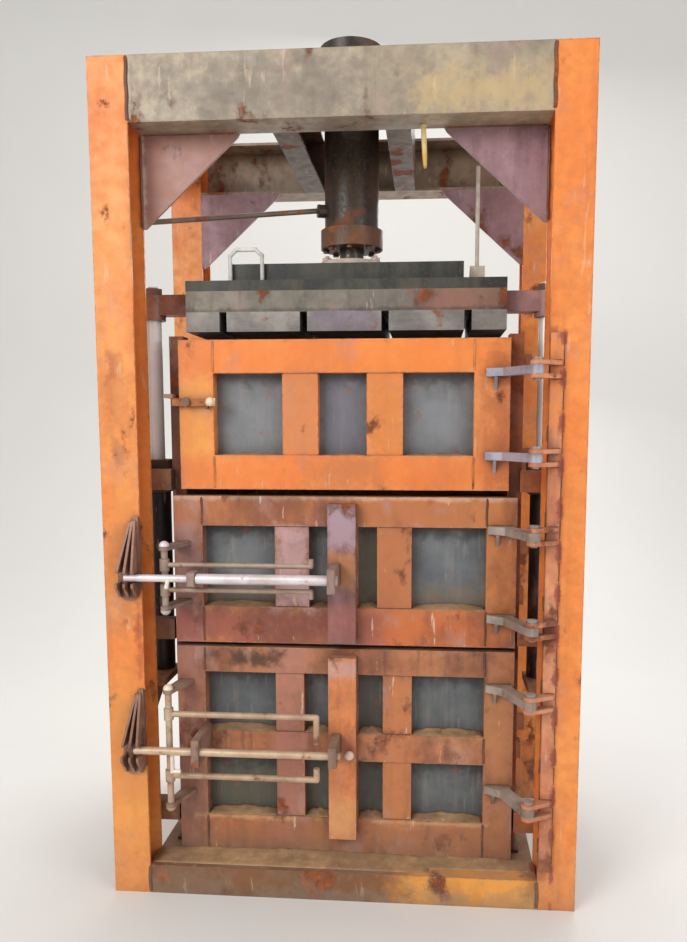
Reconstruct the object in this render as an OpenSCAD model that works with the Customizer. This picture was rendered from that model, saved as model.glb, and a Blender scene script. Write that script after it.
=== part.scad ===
// Upright recycling baler: a welded frame of four H columns, a press cylinder over a box of steel walls,
// a platen lifted by two side cylinders, and three barred doors hung on one side.
// Millimetres. X to the right, fronts face -Y, Z up. Origin: middle of the footprint on the floor.

/* [Frame] */
// Width over the columns
frame_w = 1560; // [1500:10:1700]
// Depth over the front and rear columns
frame_d = 930; // [900:10:1000]
// Height of the columns and top beams
frame_h = 2735; // [2700:5:2800]
// Height of the top beams
beam_h = 200; // [160:5:230]
// Height of the base beams
base_h = 100; // [80:5:130]

/* [Columns] */
// Side of the H section
col_w = 125; // [120:1:130]
// Flange thickness of the H section
flange_t = 9; // [8:1:12]
// Web thickness of the H section
web_t = 7; // [5:1:9]

/* [Chamber] */
// Wall sheet thickness
wall_t = 8; // [5:1:10]
// Width of the wire slots between the pressing bars
slot_w = 25; // [18:1:32]
// Gap between the platen and the walls
platen_gap = 10; // [6:1:14]

/* [Doors] */
// Height of the lower door
low_h = 735; // [715:5:780]
// Height of the middle door
mid_h = 507; // [490:1:560]
// Height of the feed door
top_h = 497; // [460:1:540]
// Depth of the door bars
bar_dp = 50; // [44:1:50]
// Width of the lock bar on the lower doors
lock_w = 94; // [80:2:104]

/* [Hinges] */
// Hinge pin diameter
pin_d = 24; // [20:1:26]
// Thickness of the hinge arms on the doors
eye_h = 26; // [20:1:32]
// Thickness of the hinge lugs on the column
lug_t = 14; // [10:1:18]

/* [Latches] */
// Diameter of the lower bolt
bolt_low_d = 26; // [20:1:28]
// Diameter of the middle bolt
bolt_mid_d = 34; // [28:1:36]
// Diameter of the bail pins
bail_pin_d = 22; // [18:1:24]

/* [Hydraulics] */
// Outer diameter of the press cylinder
main_od = 196; // [180:2:204]
// Wall thickness of the press cylinder
main_wall = 18; // [14:1:22]
// Diameter of the press rod
main_rod_d = 90; // [70:2:100]
// Outer diameter of the side cylinders
side_od = 84; // [76:2:88]
// Diameter of the side rods
side_rod_d = 50; // [40:1:54]

/* [Hidden] */
$fn = 64;
run = 0.05;
xo = frame_w / 2;
xi = xo - col_w;
beam_z = frame_h - beam_h;
rear_y = frame_d - col_w;
web_x = xi + (col_w - web_t) / 2;
door_y = col_w - 7;
sheet_y = door_y + bar_dp;
ch_y0 = col_w + 50;
ch_y1 = rear_y - 50;
ch_x = xi - 105;
floor_t = 10;
floor_bar = 40;
wall_z0 = base_h + floor_t;
low_z0 = base_h + 5;
low_z1 = low_z0 + low_h;
mid_z0 = low_z1 + 15;
mid_z1 = mid_z0 + mid_h;
top_z0 = mid_z1 + 23;
top_z1 = top_z0 + top_h;
wall_z1 = top_z1 + 18;
stroke = top_h - 47;
pl_z = top_z1 + 33;
fr_z = pl_z + 65;
pt_z = fr_z + 70;
pt_z1 = pt_z + 35;
pad_z1 = pt_z1 + 37;
rf_z1 = pad_z1 + 25;
px = ch_x - platen_gap;
py0 = ch_y0 + platen_gap;
py1 = ch_y1 - platen_gap;
cy = frame_d / 2;
gl_z0 = rf_z1 + 88;
gl_z1 = gl_z0 + 65;
pis_z0 = gl_z1 + 40 + stroke;
pis_z1 = pis_z0 + 60;
seat_z = frame_h + 30;
cap_z = max(pis_z1 + 40, seat_z + 90);
main_id = main_od - 2 * main_wall;
flange_r = main_od / 2 + 52;
flange_pcr = main_od / 2 + 27;
carrier_x = flange_pcr + 17;
side_x = xi + 25;
side_y = cy - 195;
sg_z0 = mid_z1 + 3;
sg_z1 = sg_z0 + 113;
sb_z0 = sg_z0 - stroke - 200;
ear_z0 = pl_z + 48;
ear_z1 = ear_z0 + 86;
ear_y0 = cy - 225;
ear_y1 = cy - 165;
spig_d = side_rod_d - 14;
hx = xi - 40;
hy = -40;
pr = pin_d / 2;
er = pr + 10;
front_reach = er - hy;
front_y = -(frame_d - front_reach) / 2;
half_low = xi - 75;
half_top = ch_x;
bolt_y = -30;
bail_y = 8;
bail_x = -(half_low - 2);
lock_y = door_y - 38;
low_bolt_z = low_z0 + 0.565 * low_h;
mid_bolt_z = mid_z0 + 0.493 * mid_h;
mid_tip_d = bolt_mid_d - 10;
low_up = 115;
low_dn = 100;
mid_up = 38;
mid_dn = 45;
slot_a = 0.2315 * px;
slot_b = 0.741 * px;

// Box between two corners
module blk(x0, x1, y0, y1, z0, z1) {
  translate([x0, y0, z0]) cube([x1 - x0, y1 - y0, z1 - z0]);
}

// Moves a piece measured from the column fronts into the shared frame
module placed() {
  translate([0, front_y, 0]) children();
}

// A piece and its twin on the left
module both() {
  children();
  mirror([1, 0, 0]) children();
}

// Upright round bar
module up(x, y, z0, z1, d) {
  translate([x, y, z0]) cylinder(h = z1 - z0, d = d);
}

// Round bar along X
module along(x0, x1, y, z, d) {
  translate([x0, y, z]) rotate([0, 90, 0]) cylinder(h = x1 - x0, d = d);
}

// Straight round bar between two points
module rod_to(p, q, d) {
  v = q - p;
  l = norm(v);
  translate(p) rotate([0, acos(v[2] / l), atan2(v[1], v[0])]) cylinder(h = l, d = d);
}

// Upright H section with its flanges to the front and rear
module h_col(x0, y0) {
  blk(x0, x0 + col_w, y0, y0 + flange_t, 0, frame_h);
  blk(x0, x0 + col_w, y0 + col_w - flange_t, y0 + col_w, 0, frame_h);
  blk(x0 + (col_w - web_t) / 2, x0 + (col_w + web_t) / 2, y0 + flange_t / 2, y0 + col_w - flange_t / 2, 0, frame_h);
}

module column_front_left() {
  color([0.93, 0.58, 0.31]) placed() h_col(-xo, 0);
}

module column_front_right() {
  color([0.94, 0.60, 0.32]) placed() h_col(xi, 0);
}

module column_rear_left() {
  color([0.88, 0.55, 0.31]) placed() h_col(-xo, rear_y);
}

module column_rear_right() {
  color([0.88, 0.55, 0.31]) placed() h_col(xi, rear_y);
}

// Channel across the top, open to the inside
module channel_x(y0, y1, inside, z0, z1, t) {
  difference() {
    blk(-xi, xi, y0, y1, z0, z1);
    blk(-xi - 1, xi + 1, y0 + (inside ? t : -1), y1 + (inside ? 1 : -t), z0 + t, z1 - t);
  }
}

module top_beam_front() {
  color([0.68, 0.63, 0.58]) placed() channel_x(0, col_w, true, beam_z, frame_h, 10);
}

module top_beam_rear() {
  color([0.68, 0.63, 0.58]) placed() channel_x(rear_y, frame_d, false, beam_z, frame_h, 10);
}

module top_ties() {
  color([0.86, 0.54, 0.30]) placed() both() {
    blk(xi, xo, col_w, rear_y, frame_h - 150, frame_h - 140);
    blk(xi, xo, col_w, rear_y, frame_h - 10, frame_h);
    blk(web_x, web_x + web_t, col_w, rear_y, frame_h - 145, frame_h - 5);
  }
}

module cylinder_bridge() {
  color([0.66, 0.52, 0.42]) placed() {
    both() {
      blk(carrier_x + 72, carrier_x + 80, col_w, rear_y, beam_z, frame_h);
      blk(carrier_x, carrier_x + 76, col_w, rear_y, beam_z, beam_z + 10);
      blk(carrier_x, carrier_x + 76, col_w, rear_y, frame_h - 10, frame_h);
      // end cleats that reach the open side of the beams
      blk(carrier_x, carrier_x + 76, col_w, col_w + 10, beam_z + 5, frame_h - 5);
      blk(carrier_x, carrier_x + 76, rear_y - 10, rear_y, beam_z + 5, frame_h - 5);
    }
    difference() {
      blk(-carrier_x - 90, carrier_x + 90, cy - 175, cy + 175, frame_h, seat_z);
      up(0, cy, frame_h - 1, seat_z + 1, main_od + 1);
      for (a = [0 : 7]) {
        translate([0, cy, 0]) rotate([0, 0, 22.5 + 45 * a]) up(flange_pcr, 0, frame_h - 1, seat_z + 1, 21);
      }
    }
  }
}

// Triangular gusset below a top beam, in the corner with the column
module gusset(y0) {
  translate([0, y0 + 12, 0]) rotate([90, 0, 0]) linear_extrude(12)
    polygon([[xi, beam_z], [xi / 2, beam_z], [xi / 2 + 8, beam_z - 14], [xi - 10, beam_z - 295], [xi, beam_z - 295]]);
}

module gussets() {
  color([0.72, 0.49, 0.45]) placed() both() {
    gusset(col_w - 12);
    gusset(rear_y);
  }
}

module base_beam_front() {
  color([0.90, 0.60, 0.30]) placed() channel_x(0, col_w, true, 0, base_h, 10);
}

module base_beam_rear() {
  color([0.80, 0.54, 0.32]) placed() channel_x(rear_y, frame_d, false, 0, base_h, 10);
}

module base_rails() {
  color([0.70, 0.50, 0.34]) placed() both() {
    blk(ch_x + 10, xi, col_w, rear_y, 0, base_h);
    blk(160, 220, col_w, rear_y, 0, base_h);
  }
}

module floor_plate() {
  color([0.45, 0.40, 0.36]) placed() {
    blk(-xi + 42, xi - 42, ch_y0, rear_y - 2, base_h, base_h + floor_t);
  }
}

module floor_bars() {
  color([0.40, 0.35, 0.31]) placed() {
    blk(-slot_a, slot_a, ch_y0, ch_y1, wall_z0, base_h + floor_bar);
    both() {
      blk(slot_a + slot_w, slot_b, ch_y0, ch_y1, wall_z0, base_h + floor_bar);
      blk(slot_b + slot_w, ch_x, ch_y0, ch_y1, wall_z0, base_h + floor_bar);
    }
  }
}

// Heights of the cleats between the walls and the columns
cleat_zs = [wall_z0 + 90, low_z1 + 20, sg_z0 + 15];

// Right chamber wall with its posts and ribs
module side_wall() {
  x1 = ch_x + wall_t;
  x2 = xi - 57;
  difference() {
    union() {
      blk(ch_x, x1, ch_y0, ch_y1, wall_z0, wall_z1);
      blk(ch_x, x2, ch_y0, ch_y0 + 50, wall_z0, wall_z1);
      blk(ch_x, x2, ch_y1 - 50, ch_y1, wall_z0, wall_z1);
      for (k = [0 : 2]) {
        z = wall_z0 + 30 + k * 0.3 * (wall_z1 - wall_z0);
        blk(ch_x + 1, x2, ch_y0 + 40, ch_y1 - 40, z, z + 12);
      }
      blk(ch_x + 1, x2, ch_y0 + 40, ch_y1 - 40, wall_z1 - 12, wall_z1);
      for (z = cleat_zs) {
        blk(ch_x + 38, xi + 25, col_w, ch_y0, z, z + 70);
      }
      for (z = cleat_zs) {
        blk(ch_x + 38, xi + 25, ch_y1, rear_y, z, z + 70);
      }
    }
    blk(ch_x - 1, xi, ear_y0 - 5, ear_y1 + 5, ear_z0 - stroke - 40, wall_z1 + 1);
  }
}

module wall_right() {
  color([0.62, 0.40, 0.28]) placed() side_wall();
}

module wall_left() {
  color([0.62, 0.40, 0.28]) placed() mirror([1, 0, 0]) side_wall();
}

module wall_rear() {
  color([0.62, 0.40, 0.28]) placed() {
    difference() {
      union() {
        blk(-ch_x - 30, ch_x + 30, ch_y1, ch_y1 + wall_t, wall_z0, wall_z1);
        for (k = [0 : 4]) {
          z = wall_z0 + 210 + k * (wall_z1 - wall_z0 - 290) / 4;
          blk(-xi - 40, xi + 40, ch_y1 + wall_t - 1, rear_y, z, z + 60);
        }
        for (x = [-360, -120, 120, 360]) {
          blk(x - 25, x + 25, ch_y1 + wall_t - 1, ch_y1 + wall_t + 24, wall_z0, wall_z1);
        }
      }
      for (z = cleat_zs) {
        both() blk(ch_x + 37, xi + 61, ch_y1 - 1, rear_y + 1, z - 1, z + 71);
      }
    }
  }
}

// Heights of the six hinges
hinge_zs = [low_z0 + 0.347 * low_h, low_z0 + 0.831 * low_h, mid_z0 + 0.199 * mid_h, mid_z0 + 0.789 * mid_h,
  top_z0 + 0.231 * top_h, top_z0 + 0.775 * top_h];

// Outline of a hinge lug from the strip to the pin, seen from above
module lug_2d() {
  difference() {
    union() {
      translate([hx, hy]) circle(r = er);
      polygon([[xi + 3, -12], [xi + 41, -12], [xi + 34, -24], [hx + 4, hy - er], [hx, hy + er]]);
    }
    translate([hx, hy]) circle(r = pr + run);
  }
}

module hinge_strip() {
  color([0.62, 0.60, 0.57]) placed() {
    blk(xi + 2, xi + 42, -12, 0, base_h + 40, top_z1);
    for (z = hinge_zs) {
      translate([0, 0, z - eye_h / 2 - lug_t - 0.2]) linear_extrude(lug_t) lug_2d();
      translate([0, 0, z + eye_h / 2 + 0.8]) linear_extrude(lug_t) lug_2d();
    }
  }
}

module hinge_pins() {
  color([0.70, 0.69, 0.66]) placed() for (z = hinge_zs) {
    up(hx, hy, z - eye_h / 2 - lug_t - 6, z + eye_h / 2 + lug_t + 2, pin_d);
    up(hx, hy, z + eye_h / 2 + lug_t + 0.8, z + eye_h / 2 + lug_t + 9, pin_d + 10);
  }
}

// Hinge arm: a flat plate from a door's front to its eye, with a rib below; z is its height, x0 to x1 its root
module arm(z, x0, x1) {
  difference() {
    union() {
      translate([0, 0, z - eye_h / 2]) linear_extrude(eye_h) {
        translate([hx, hy]) circle(r = er);
        polygon([[x0, door_y], [x0, door_y - 12], [x0 + 52, door_y - 42], [hx - er * 0.894, hy - er * 0.447],
          [hx + er * 0.894, hy + er * 0.447], [x1, door_y - 30], [x1, door_y]]);
      }
      translate([x0 + 26, 0, 0]) rotate([90, 0, 90]) linear_extrude(10)
        polygon([[door_y, z - eye_h / 2 + 1], [door_y - 24, z - eye_h / 2 + 1], [door_y - 24, z - eye_h / 2 - 6],
          [door_y, z - eye_h / 2 - 44]]);
    }
    up(hx, hy, z - eye_h, z + eye_h, pin_d + 2 * run);
  }
}

// Barred door frame: rails as [from, to] heights, posts as [from, to] to the right of the middle
module bars(half, z0, z1, rails, posts, outer) {
  for (r = rails) {
    blk(-half, half, door_y, sheet_y, r[0], r[1]);
  }
  both() {
    blk(half - outer, half, door_y, sheet_y, z0, z1);
    for (p = posts) {
      blk(p[0], p[1], door_y + 5, sheet_y, z0 + 5, z1 - 5);
    }
  }
}

module top_frame() {
  color([0.92, 0.56, 0.34]) placed()
    bars(half_top, top_z0, top_z1, [[top_z0, top_z0 + 0.231 * top_h], [top_z1 - 0.221 * top_h, top_z1]],
      [[0.147 * half_top, 0.365 * half_top]], 0.213 * half_top);
}

module top_sheet() {
  color([0.46, 0.45, 0.47]) placed() blk(-half_top + 4, half_top - 4, sheet_y, sheet_y + 4, top_z0 + 4, top_z1 - 4);
}

module top_arms() {
  color([0.63, 0.60, 0.57]) placed() for (z = [hinge_zs[4], hinge_zs[5]]) {
    arm(z, half_top - 80, half_top - 4);
  }
}

module top_stud() {
  zl = top_z0 + 0.587 * top_h;
  color([0.50, 0.36, 0.28]) placed() {
    translate([-half_top + 30, door_y, zl]) rotate([90, 0, 0]) cylinder(h = 30, d = 16);
    translate([-half_top + 30, door_y - 20.5, zl]) rotate([90, 0, 0]) cylinder(h = 9.5, d = 28);
    translate([-half_top + 30, door_y, zl]) rotate([90, 0, 0]) cylinder(h = 7.7, d = 28);
    translate([-half_top + 98, door_y, zl - 17.8]) rotate([90, 0, 0]) cylinder(h = 22, d = 10);
  }
}

module top_lever() {
  zl = top_z0 + 0.587 * top_h;
  color([0.55, 0.33, 0.22]) placed() difference() {
    union() {
      blk(-half_top - 19, -half_top + 128, door_y - 20, door_y - 8, zl - 12.5, zl + 12.5);
      translate([-half_top + 30, door_y - 8, zl]) rotate([90, 0, 0]) cylinder(h = 12, d = 34);
      translate([-half_top + 118, door_y - 19, zl]) rotate([90, 0, 0]) cylinder(h = 22, d = 14);
      translate([-half_top + 118, door_y - 46, zl]) sphere(d = 30);
    }
    translate([-half_top + 30, door_y, zl]) rotate([90, 0, 0]) cylinder(h = 40, d = 16.2);
  }
}

module mid_frame() {
  color([0.66, 0.33, 0.22]) placed()
    bars(half_low, mid_z0, mid_z1, [[mid_z0, mid_z0 + 0.25 * mid_h], [mid_z1 - 0.2 * mid_h, mid_z1]],
      [[-1, lock_w / 2 + 3], [0.2 * half_low, 0.4 * half_low]], 0.171 * half_low);
}

module mid_sheet() {
  color([0.44, 0.44, 0.47]) placed() blk(-half_low + 4, half_low - 4, sheet_y, sheet_y + 4, mid_z0 + 4, mid_z1 - 4);
}

module mid_arms() {
  color([0.62, 0.59, 0.56]) placed() for (z = [hinge_zs[2], hinge_zs[3]]) {
    arm(z, half_low - 96, half_low - 8);
  }
}

module mid_lock_bar() {
  color([0.52, 0.37, 0.31]) placed() blk(-lock_w / 2, lock_w / 2, lock_y, door_y, mid_z0 + 12, mid_z1 - 22);
}

// Guide, keeper and bail lugs that hold a bolt at height zb to the door; dg and d are its diameters in the two
module mounts(zb, dg, d, up_h, dn_h, zp0, zp1) {
  gx = bail_x + 90;
  difference() {
    union() {
      blk(gx, gx + 25, bolt_y - dg / 2 - 7, door_y, zb - dn_h, zb + up_h);
      blk(-32, -6, bolt_y - d / 2 - 8, lock_y, zb - d / 2 - 22, zb + d / 2 + 22);
      for (z = [zp0, zp1]) {
        translate([0, 0, z]) linear_extrude(14) {
          translate([bail_x, bail_y]) circle(d = bail_pin_d + 12);
          polygon([[bail_x - bail_pin_d / 2 - 5, bail_y + 4], [bail_x + 12, bail_y - 10], [bail_x + 58, door_y],
            [bail_x + 4, door_y]]);
        }
      }
    }
    along(gx - 1, gx + 26, bolt_y, zb, dg + 2 * run);
    along(-40, 0, bolt_y, zb, d + 2 * run);
    up(bail_x, bail_y, zp0 - 1, zp1 + 15, bail_pin_d + 2 * run);
  }
}

mid_p0 = mid_bolt_z - 126;
mid_p1 = mid_bolt_z + 112;
low_p0 = low_bolt_z - 222;
low_p1 = low_bolt_z + 212;

module mid_mounts() {
  color([0.55, 0.47, 0.41]) placed() mounts(mid_bolt_z, mid_tip_d, bolt_mid_d, bolt_mid_d / 2 + 6, bolt_mid_d / 2 + 6,
    mid_p0 + 12, mid_p1 - 26);
}

module mid_bolt() {
  color([0.78, 0.74, 0.69]) placed() {
    along(-xi - 45, bail_x + 120, bolt_y, mid_bolt_z, mid_tip_d);
    along(bail_x + 117, -2, bolt_y, mid_bolt_z, bolt_mid_d);
    rod_to([bail_x + 23, bolt_y - 3, mid_bolt_z - 4], [bail_x + 23, bolt_y - 19, mid_bolt_z - 25], 13);
    translate([bail_x + 23, bolt_y - 19, mid_bolt_z - 25]) sphere(d = 16);
  }
}

// Swinging bail: an upright pin with two long arms, zu and zl their heights, stub their turned ends
module bail(zp0, zp1, zu, zl, d, x1, stub_u, stub_l) {
  up(bail_x, bail_y, zp0, zp1, bail_pin_d);
  for (z = [zp0 + 11.7, zp1 - 11.7]) {
    intersection() {
      translate([bail_x, bail_y, z]) sphere(d = bail_pin_d + 12);
      blk(bail_x - 40, bail_x + 40, -40, 60, z < zu ? z - 20 : z, z < zu ? z : z + 20);
    }
  }
  for (a = [[zu, stub_u], [zl, -stub_l]]) {
    up(bail_x, bail_y, a[0] - 20, a[0] + 20, bail_pin_d + 10);
    along(bail_x, x1, bail_y, a[0], d);
    translate([x1, bail_y, a[0]]) sphere(d = d);
    up(x1, bail_y, min(a[0], a[0] - a[1]), max(a[0], a[0] - a[1]), d);
  }
}

module mid_bail() {
  color([0.72, 0.66, 0.60]) placed()
    bail(mid_p0, mid_p1, mid_bolt_z + mid_up, mid_bolt_z - mid_dn, 17, -92, -24, -24);
}

module low_frame() {
  color([0.62, 0.31, 0.20]) placed()
    bars(half_low, low_z0, low_z1, [[low_z0, low_z0 + 0.174 * low_h],
      [low_z0 + 0.458 * low_h, low_z0 + 0.592 * low_h], [low_z1 - 0.122 * low_h, low_z1]],
      [[-1, lock_w / 2 + 3], [0.235 * half_low, 0.405 * half_low]], 0.17 * half_low);
}

module low_sheet() {
  color([0.42, 0.43, 0.46]) placed() blk(-half_low + 4, half_low - 4, sheet_y, sheet_y + 4, low_z0 + 4, low_z1 - 4);
}

module low_arms() {
  color([0.62, 0.59, 0.56]) placed() for (z = [hinge_zs[0], hinge_zs[1]]) {
    arm(z, half_low - 96, half_low - 8);
  }
}

module low_lock_bar() {
  color([0.50, 0.36, 0.30]) placed() blk(-lock_w / 2, lock_w / 2, lock_y, door_y, low_z0 + 70, low_z1 - 22);
}

module low_mounts() {
  color([0.55, 0.47, 0.41]) placed() mounts(low_bolt_z, bolt_low_d, bolt_low_d, bolt_low_d / 2 + 32, bolt_low_d / 2 + 32,
    low_p0 + 12, low_p1 - 26);
}

module low_bolt() {
  hz = low_bolt_z - 68;
  color([0.76, 0.72, 0.67]) placed() {
    along(-xi - 30, 6, bolt_y, low_bolt_z, bolt_low_d);
    up(bail_x + 22, bolt_y - 4, hz, low_bolt_z - 2, 14);
    translate([bail_x + 22, bolt_y - 4, hz]) sphere(d = 16);
    along(bail_x + 22, bail_x + 50, bolt_y - 4, hz, 14);
  }
}

module low_bail() {
  color([0.72, 0.66, 0.60]) placed()
    bail(low_p0, low_p1, low_bolt_z + low_up, low_bolt_z - low_dn, 21, -78, 90, 40);
}

// Column bracket that takes the tip of a bolt: plate with a fan of wedge ribs, notched open to the front
module bracket(zb, d, lo, hi) {
  x0 = -xi - 75;
  x1 = -xi - 3;
  front = bolt_y - d / 2 - 12;
  difference() {
    union() {
      rotate([90, 0, 0]) linear_extrude(9)
        polygon([[x1 - 16, zb + hi], [x1, zb + hi], [x1, zb - lo + 22], [x1 - 20, zb - lo], [x0 + 20, zb - lo],
          [x0, zb - lo + 22], [x0, zb + 20]]);
      for (k = [0 : 2]) {
        translate([x0 + 8 + 27 * k, 0, zb]) rotate([0, 12 - 6 * k, 0]) translate([-4, 0, 0]) rotate([90, 0, 90])
          linear_extrude(8) polygon([[-1, 0], [front, 0], [front, d / 2 + 18], [-14, hi - 14], [-1, hi - 14]]);
        translate([x0 + 4 + 27 * k, 0, 0]) rotate([90, 0, 90]) linear_extrude(8)
          polygon([[-1, zb - lo + 10], [-16, zb - lo + 10], [front, zb - d / 2 - 18], [front, zb], [-1, zb]]);
      }
    }
    blk(x0 - 1, x1 + 1, bolt_y - 60, -9, zb - d / 2 - 5, zb + d / 2 + 5);
  }
}

module latch_brackets() {
  zl = top_z0 + 0.587 * top_h;
  color([0.66, 0.54, 0.44]) placed() {
    bracket(low_bolt_z, bolt_low_d, 93, 203);
    bracket(mid_bolt_z, mid_tip_d, 78, 200);
    blk(-half_top - 46, -half_top - 14, col_w - 33, ch_y0, zl + 13.5, zl + 26.5);
  }
}

module main_barrel() {
  color([0.30, 0.22, 0.17]) placed() difference() {
    union() {
      up(0, cy, gl_z1, cap_z, main_od);
      up(0, cy, seat_z, seat_z + 30, 2 * flange_r);
      up(0, cy, cap_z, cap_z + 35, main_od + 29);
      translate([0, cy, cap_z - 40]) rotate([90, 0, 0]) cylinder(h = main_od / 2 + 30, d = 50);
      rod_to([0, cy, gl_z1 + 66], [-main_od / 2 - 22, cy - 40, gl_z1 + 66], 46);
    }
    up(0, cy, gl_z1 - 1, cap_z, main_id);
    for (a = [0 : 7]) {
      translate([0, cy, 0]) rotate([0, 0, 22.5 + 45 * a]) up(flange_pcr, 0, seat_z - 1, seat_z + 31, 21);
    }
  }
}

module main_gland() {
  color([0.38, 0.25, 0.18]) placed() difference() {
    union() {
      up(0, cy, gl_z0, gl_z1, main_od + 29);
      for (a = [0 : 7]) {
        translate([0, cy, 0]) rotate([0, 0, 45 * a]) up(main_od / 2 - 4, 0, gl_z0 - 10, gl_z0 + 1, 22);
      }
    }
    up(0, cy, gl_z0 - 1, gl_z1 + 1, main_rod_d + 2 * run);
  }
}

module cylinder_bolts() {
  color([0.42, 0.38, 0.34]) placed() for (a = [0 : 7]) {
    translate([0, cy, 0]) rotate([0, 0, 22.5 + 45 * a]) {
      up(flange_pcr, 0, frame_h - 20, seat_z + 31, 20);
      translate([flange_pcr, 0, seat_z + 30]) cylinder(h = 13, d = 34, $fn = 6);
      translate([flange_pcr, 0, frame_h - 16]) cylinder(h = 16, d = 34, $fn = 6);
    }
  }
}

module side_barrel() {
  difference() {
    up(side_x, side_y, sb_z0, sg_z0, side_od);
    up(side_x, side_y, sb_z0 + 30, sg_z0 + 1, side_od - 20);
  }
}

module side_barrels() {
  color([0.09, 0.09, 0.09]) placed() both() side_barrel();
}

module side_glands() {
  color([0.24, 0.22, 0.21]) placed() both() {
    difference() {
      blk(side_x - 52, side_x + 52, side_y - 55, side_y + 55, sg_z0, sg_z1);
      up(side_x, side_y, sg_z0 - 1, sg_z1 + 1, side_rod_d + 2 * run);
    }
    for (x = [side_x + 5, side_x + 36]) {
      blk(x, x + 12, col_w, side_y - 54, sg_z0 + 10, sg_z1 - 10);
    }
  }
}

module side_feet() {
  color([0.60, 0.40, 0.28]) placed() both() {
    blk(side_x - 50, side_x + 50, col_w, side_y + 50, sb_z0 - 25, sb_z0);
    translate([side_x - 6, 0, 0]) rotate([90, 0, 90]) linear_extrude(12)
      polygon([[col_w, sb_z0 - 24], [side_y + 30, sb_z0 - 24], [side_y + 30, sb_z0 - 35], [col_w, sb_z0 - 150]]);
  }
}

module feed_pipe() {
  a = [-side_x - 40, side_y - 42, sg_z1];
  b = [-side_x - 40, side_y - 42, gl_z1 - 13];
  e = [-main_od / 2 - 23, cy - 41, gl_z1 + 66];
  color([0.40, 0.37, 0.34]) placed() {
    up(a[0], a[1], a[2], b[2], 18);
    translate(b) sphere(d = 26);
    rod_to(b, e, 18);
    up(a[0], a[1], a[2], a[2] + 26, 25);
  }
}

module main_rod() {
  color([0.32, 0.25, 0.20]) placed() up(0, cy, pad_z1, pis_z0, main_rod_d);
}

module main_piston() {
  color([0.55, 0.54, 0.53]) placed() up(0, cy, pis_z0, pis_z1, main_id - 2 * run);
}

module rod_flange() {
  color([0.30, 0.27, 0.24]) placed() difference() {
    up(0, cy, pad_z1, rf_z1, 280);
    up(0, cy, pad_z1 - 1, rf_z1 + 1, main_rod_d + 2 * run);
    for (a = [0 : 7]) {
      translate([0, cy, 0]) rotate([0, 0, 45 * a]) up(110, 0, pad_z1 - 1, rf_z1 + 1, 21);
    }
  }
}

module flange_bolts() {
  color([0.34, 0.31, 0.28]) placed() for (a = [0 : 7]) {
    translate([0, cy, 0]) rotate([0, 0, 45 * a]) {
      up(110, 0, pad_z1, rf_z1 + 1, 20);
      translate([110, 0, rf_z1]) cylinder(h = 13, d = 32, $fn = 6);
    }
  }
}

module platen_plate() {
  color([0.25, 0.25, 0.21]) placed() {
    blk(-px, px, py0, py1, pt_z, pt_z1);
    blk(-150, 150, cy - 150, cy + 150, pt_z, pad_z1);
    for (y = [cy - 215, cy + 155]) {
      difference() {
        blk(-0.74 * px, 0.74 * px, y, y + 60, pt_z1 - 1, pt_z1 + 65);
        blk(-0.74 * px - 1, 0.74 * px + 1, y + 8, y + 52, pt_z1 + 8, pt_z1 + 66);
      }
    }
    both() {
      blk(0.5 * px, 0.5 * px + 10, cy - 160, cy + 160, pt_z1 - 1, pt_z1 + 45);
      blk(149, 0.52 * px, cy - 5, cy + 5, pt_z1 - 1, pt_z1 + 35);
    }
  }
}

module platen_frame() {
  color([0.40, 0.40, 0.37]) placed() difference() {
    blk(-px, px, py0, py1, fr_z, pt_z);
    blk(-slot_a + 10, slot_a - 10, py0 + 12, py1 - 12, fr_z + 12, pt_z + 1);
    both() {
      blk(slot_a + slot_w - 10, slot_b - 6, py0 + 12, py1 - 12, fr_z + 12, pt_z + 1);
      blk(slot_b + 6, px - 12, py0 + 12, py1 - 12, fr_z + 12, pt_z + 1);
    }
  }
}

// One pressing bar: a steel trough, closed on top by the frame above it
module press_bar(x0, x1) {
  difference() {
    blk(x0, x1, py0, py1, pl_z, fr_z);
    blk(x0 + 10, x1 - 10, py0 + 10, py1 - 10, pl_z + 14, fr_z + 1);
  }
}

module pressing_bars() {
  color([0.20, 0.20, 0.19]) placed() {
    press_bar(-slot_a, slot_a);
    both() {
      press_bar(slot_a + slot_w, slot_b);
      press_bar(slot_b + slot_w, px);
    }
  }
}

// Right ear: arm through the wall slot, side plate, boss on the rod
module ear() {
  difference() {
    union() {
      blk(px, side_x - 20, ear_y0, ear_y1, ear_z0 + 17, ear_z1);
      up(side_x, side_y, ear_z0, ear_z1, side_rod_d + 32);
    }
    up(side_x, side_y, ear_z0 - 1, ear_z1 + 1, spig_d + 2 * run);
  }
}

module ear_right() {
  color([0.45, 0.42, 0.38]) placed() ear();
}

module ear_left() {
  color([0.45, 0.42, 0.38]) placed() mirror([1, 0, 0]) ear();
}

module side_rod() {
  up(side_x, side_y, sg_z0 - 75, sg_z0 - 25, side_od - 20 - 2 * run);
  up(side_x, side_y, sg_z0 - 26, ear_z0, side_rod_d);
  up(side_x, side_y, ear_z0 - 1, ear_z1 + 30, spig_d);
}

module side_rod_right() {
  color([0.88, 0.87, 0.84]) placed() side_rod();
}

module side_rod_left() {
  color([0.88, 0.87, 0.84]) placed() mirror([1, 0, 0]) side_rod();
}

module rod_nuts() {
  color([0.50, 0.47, 0.43]) placed() both() difference() {
    translate([side_x, side_y, ear_z1]) cylinder(h = 24, d = spig_d * 1.7, $fn = 6);
    up(side_x, side_y, ear_z1 - 1, ear_z1 + 25, spig_d + 2 * run);
  }
}

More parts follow.
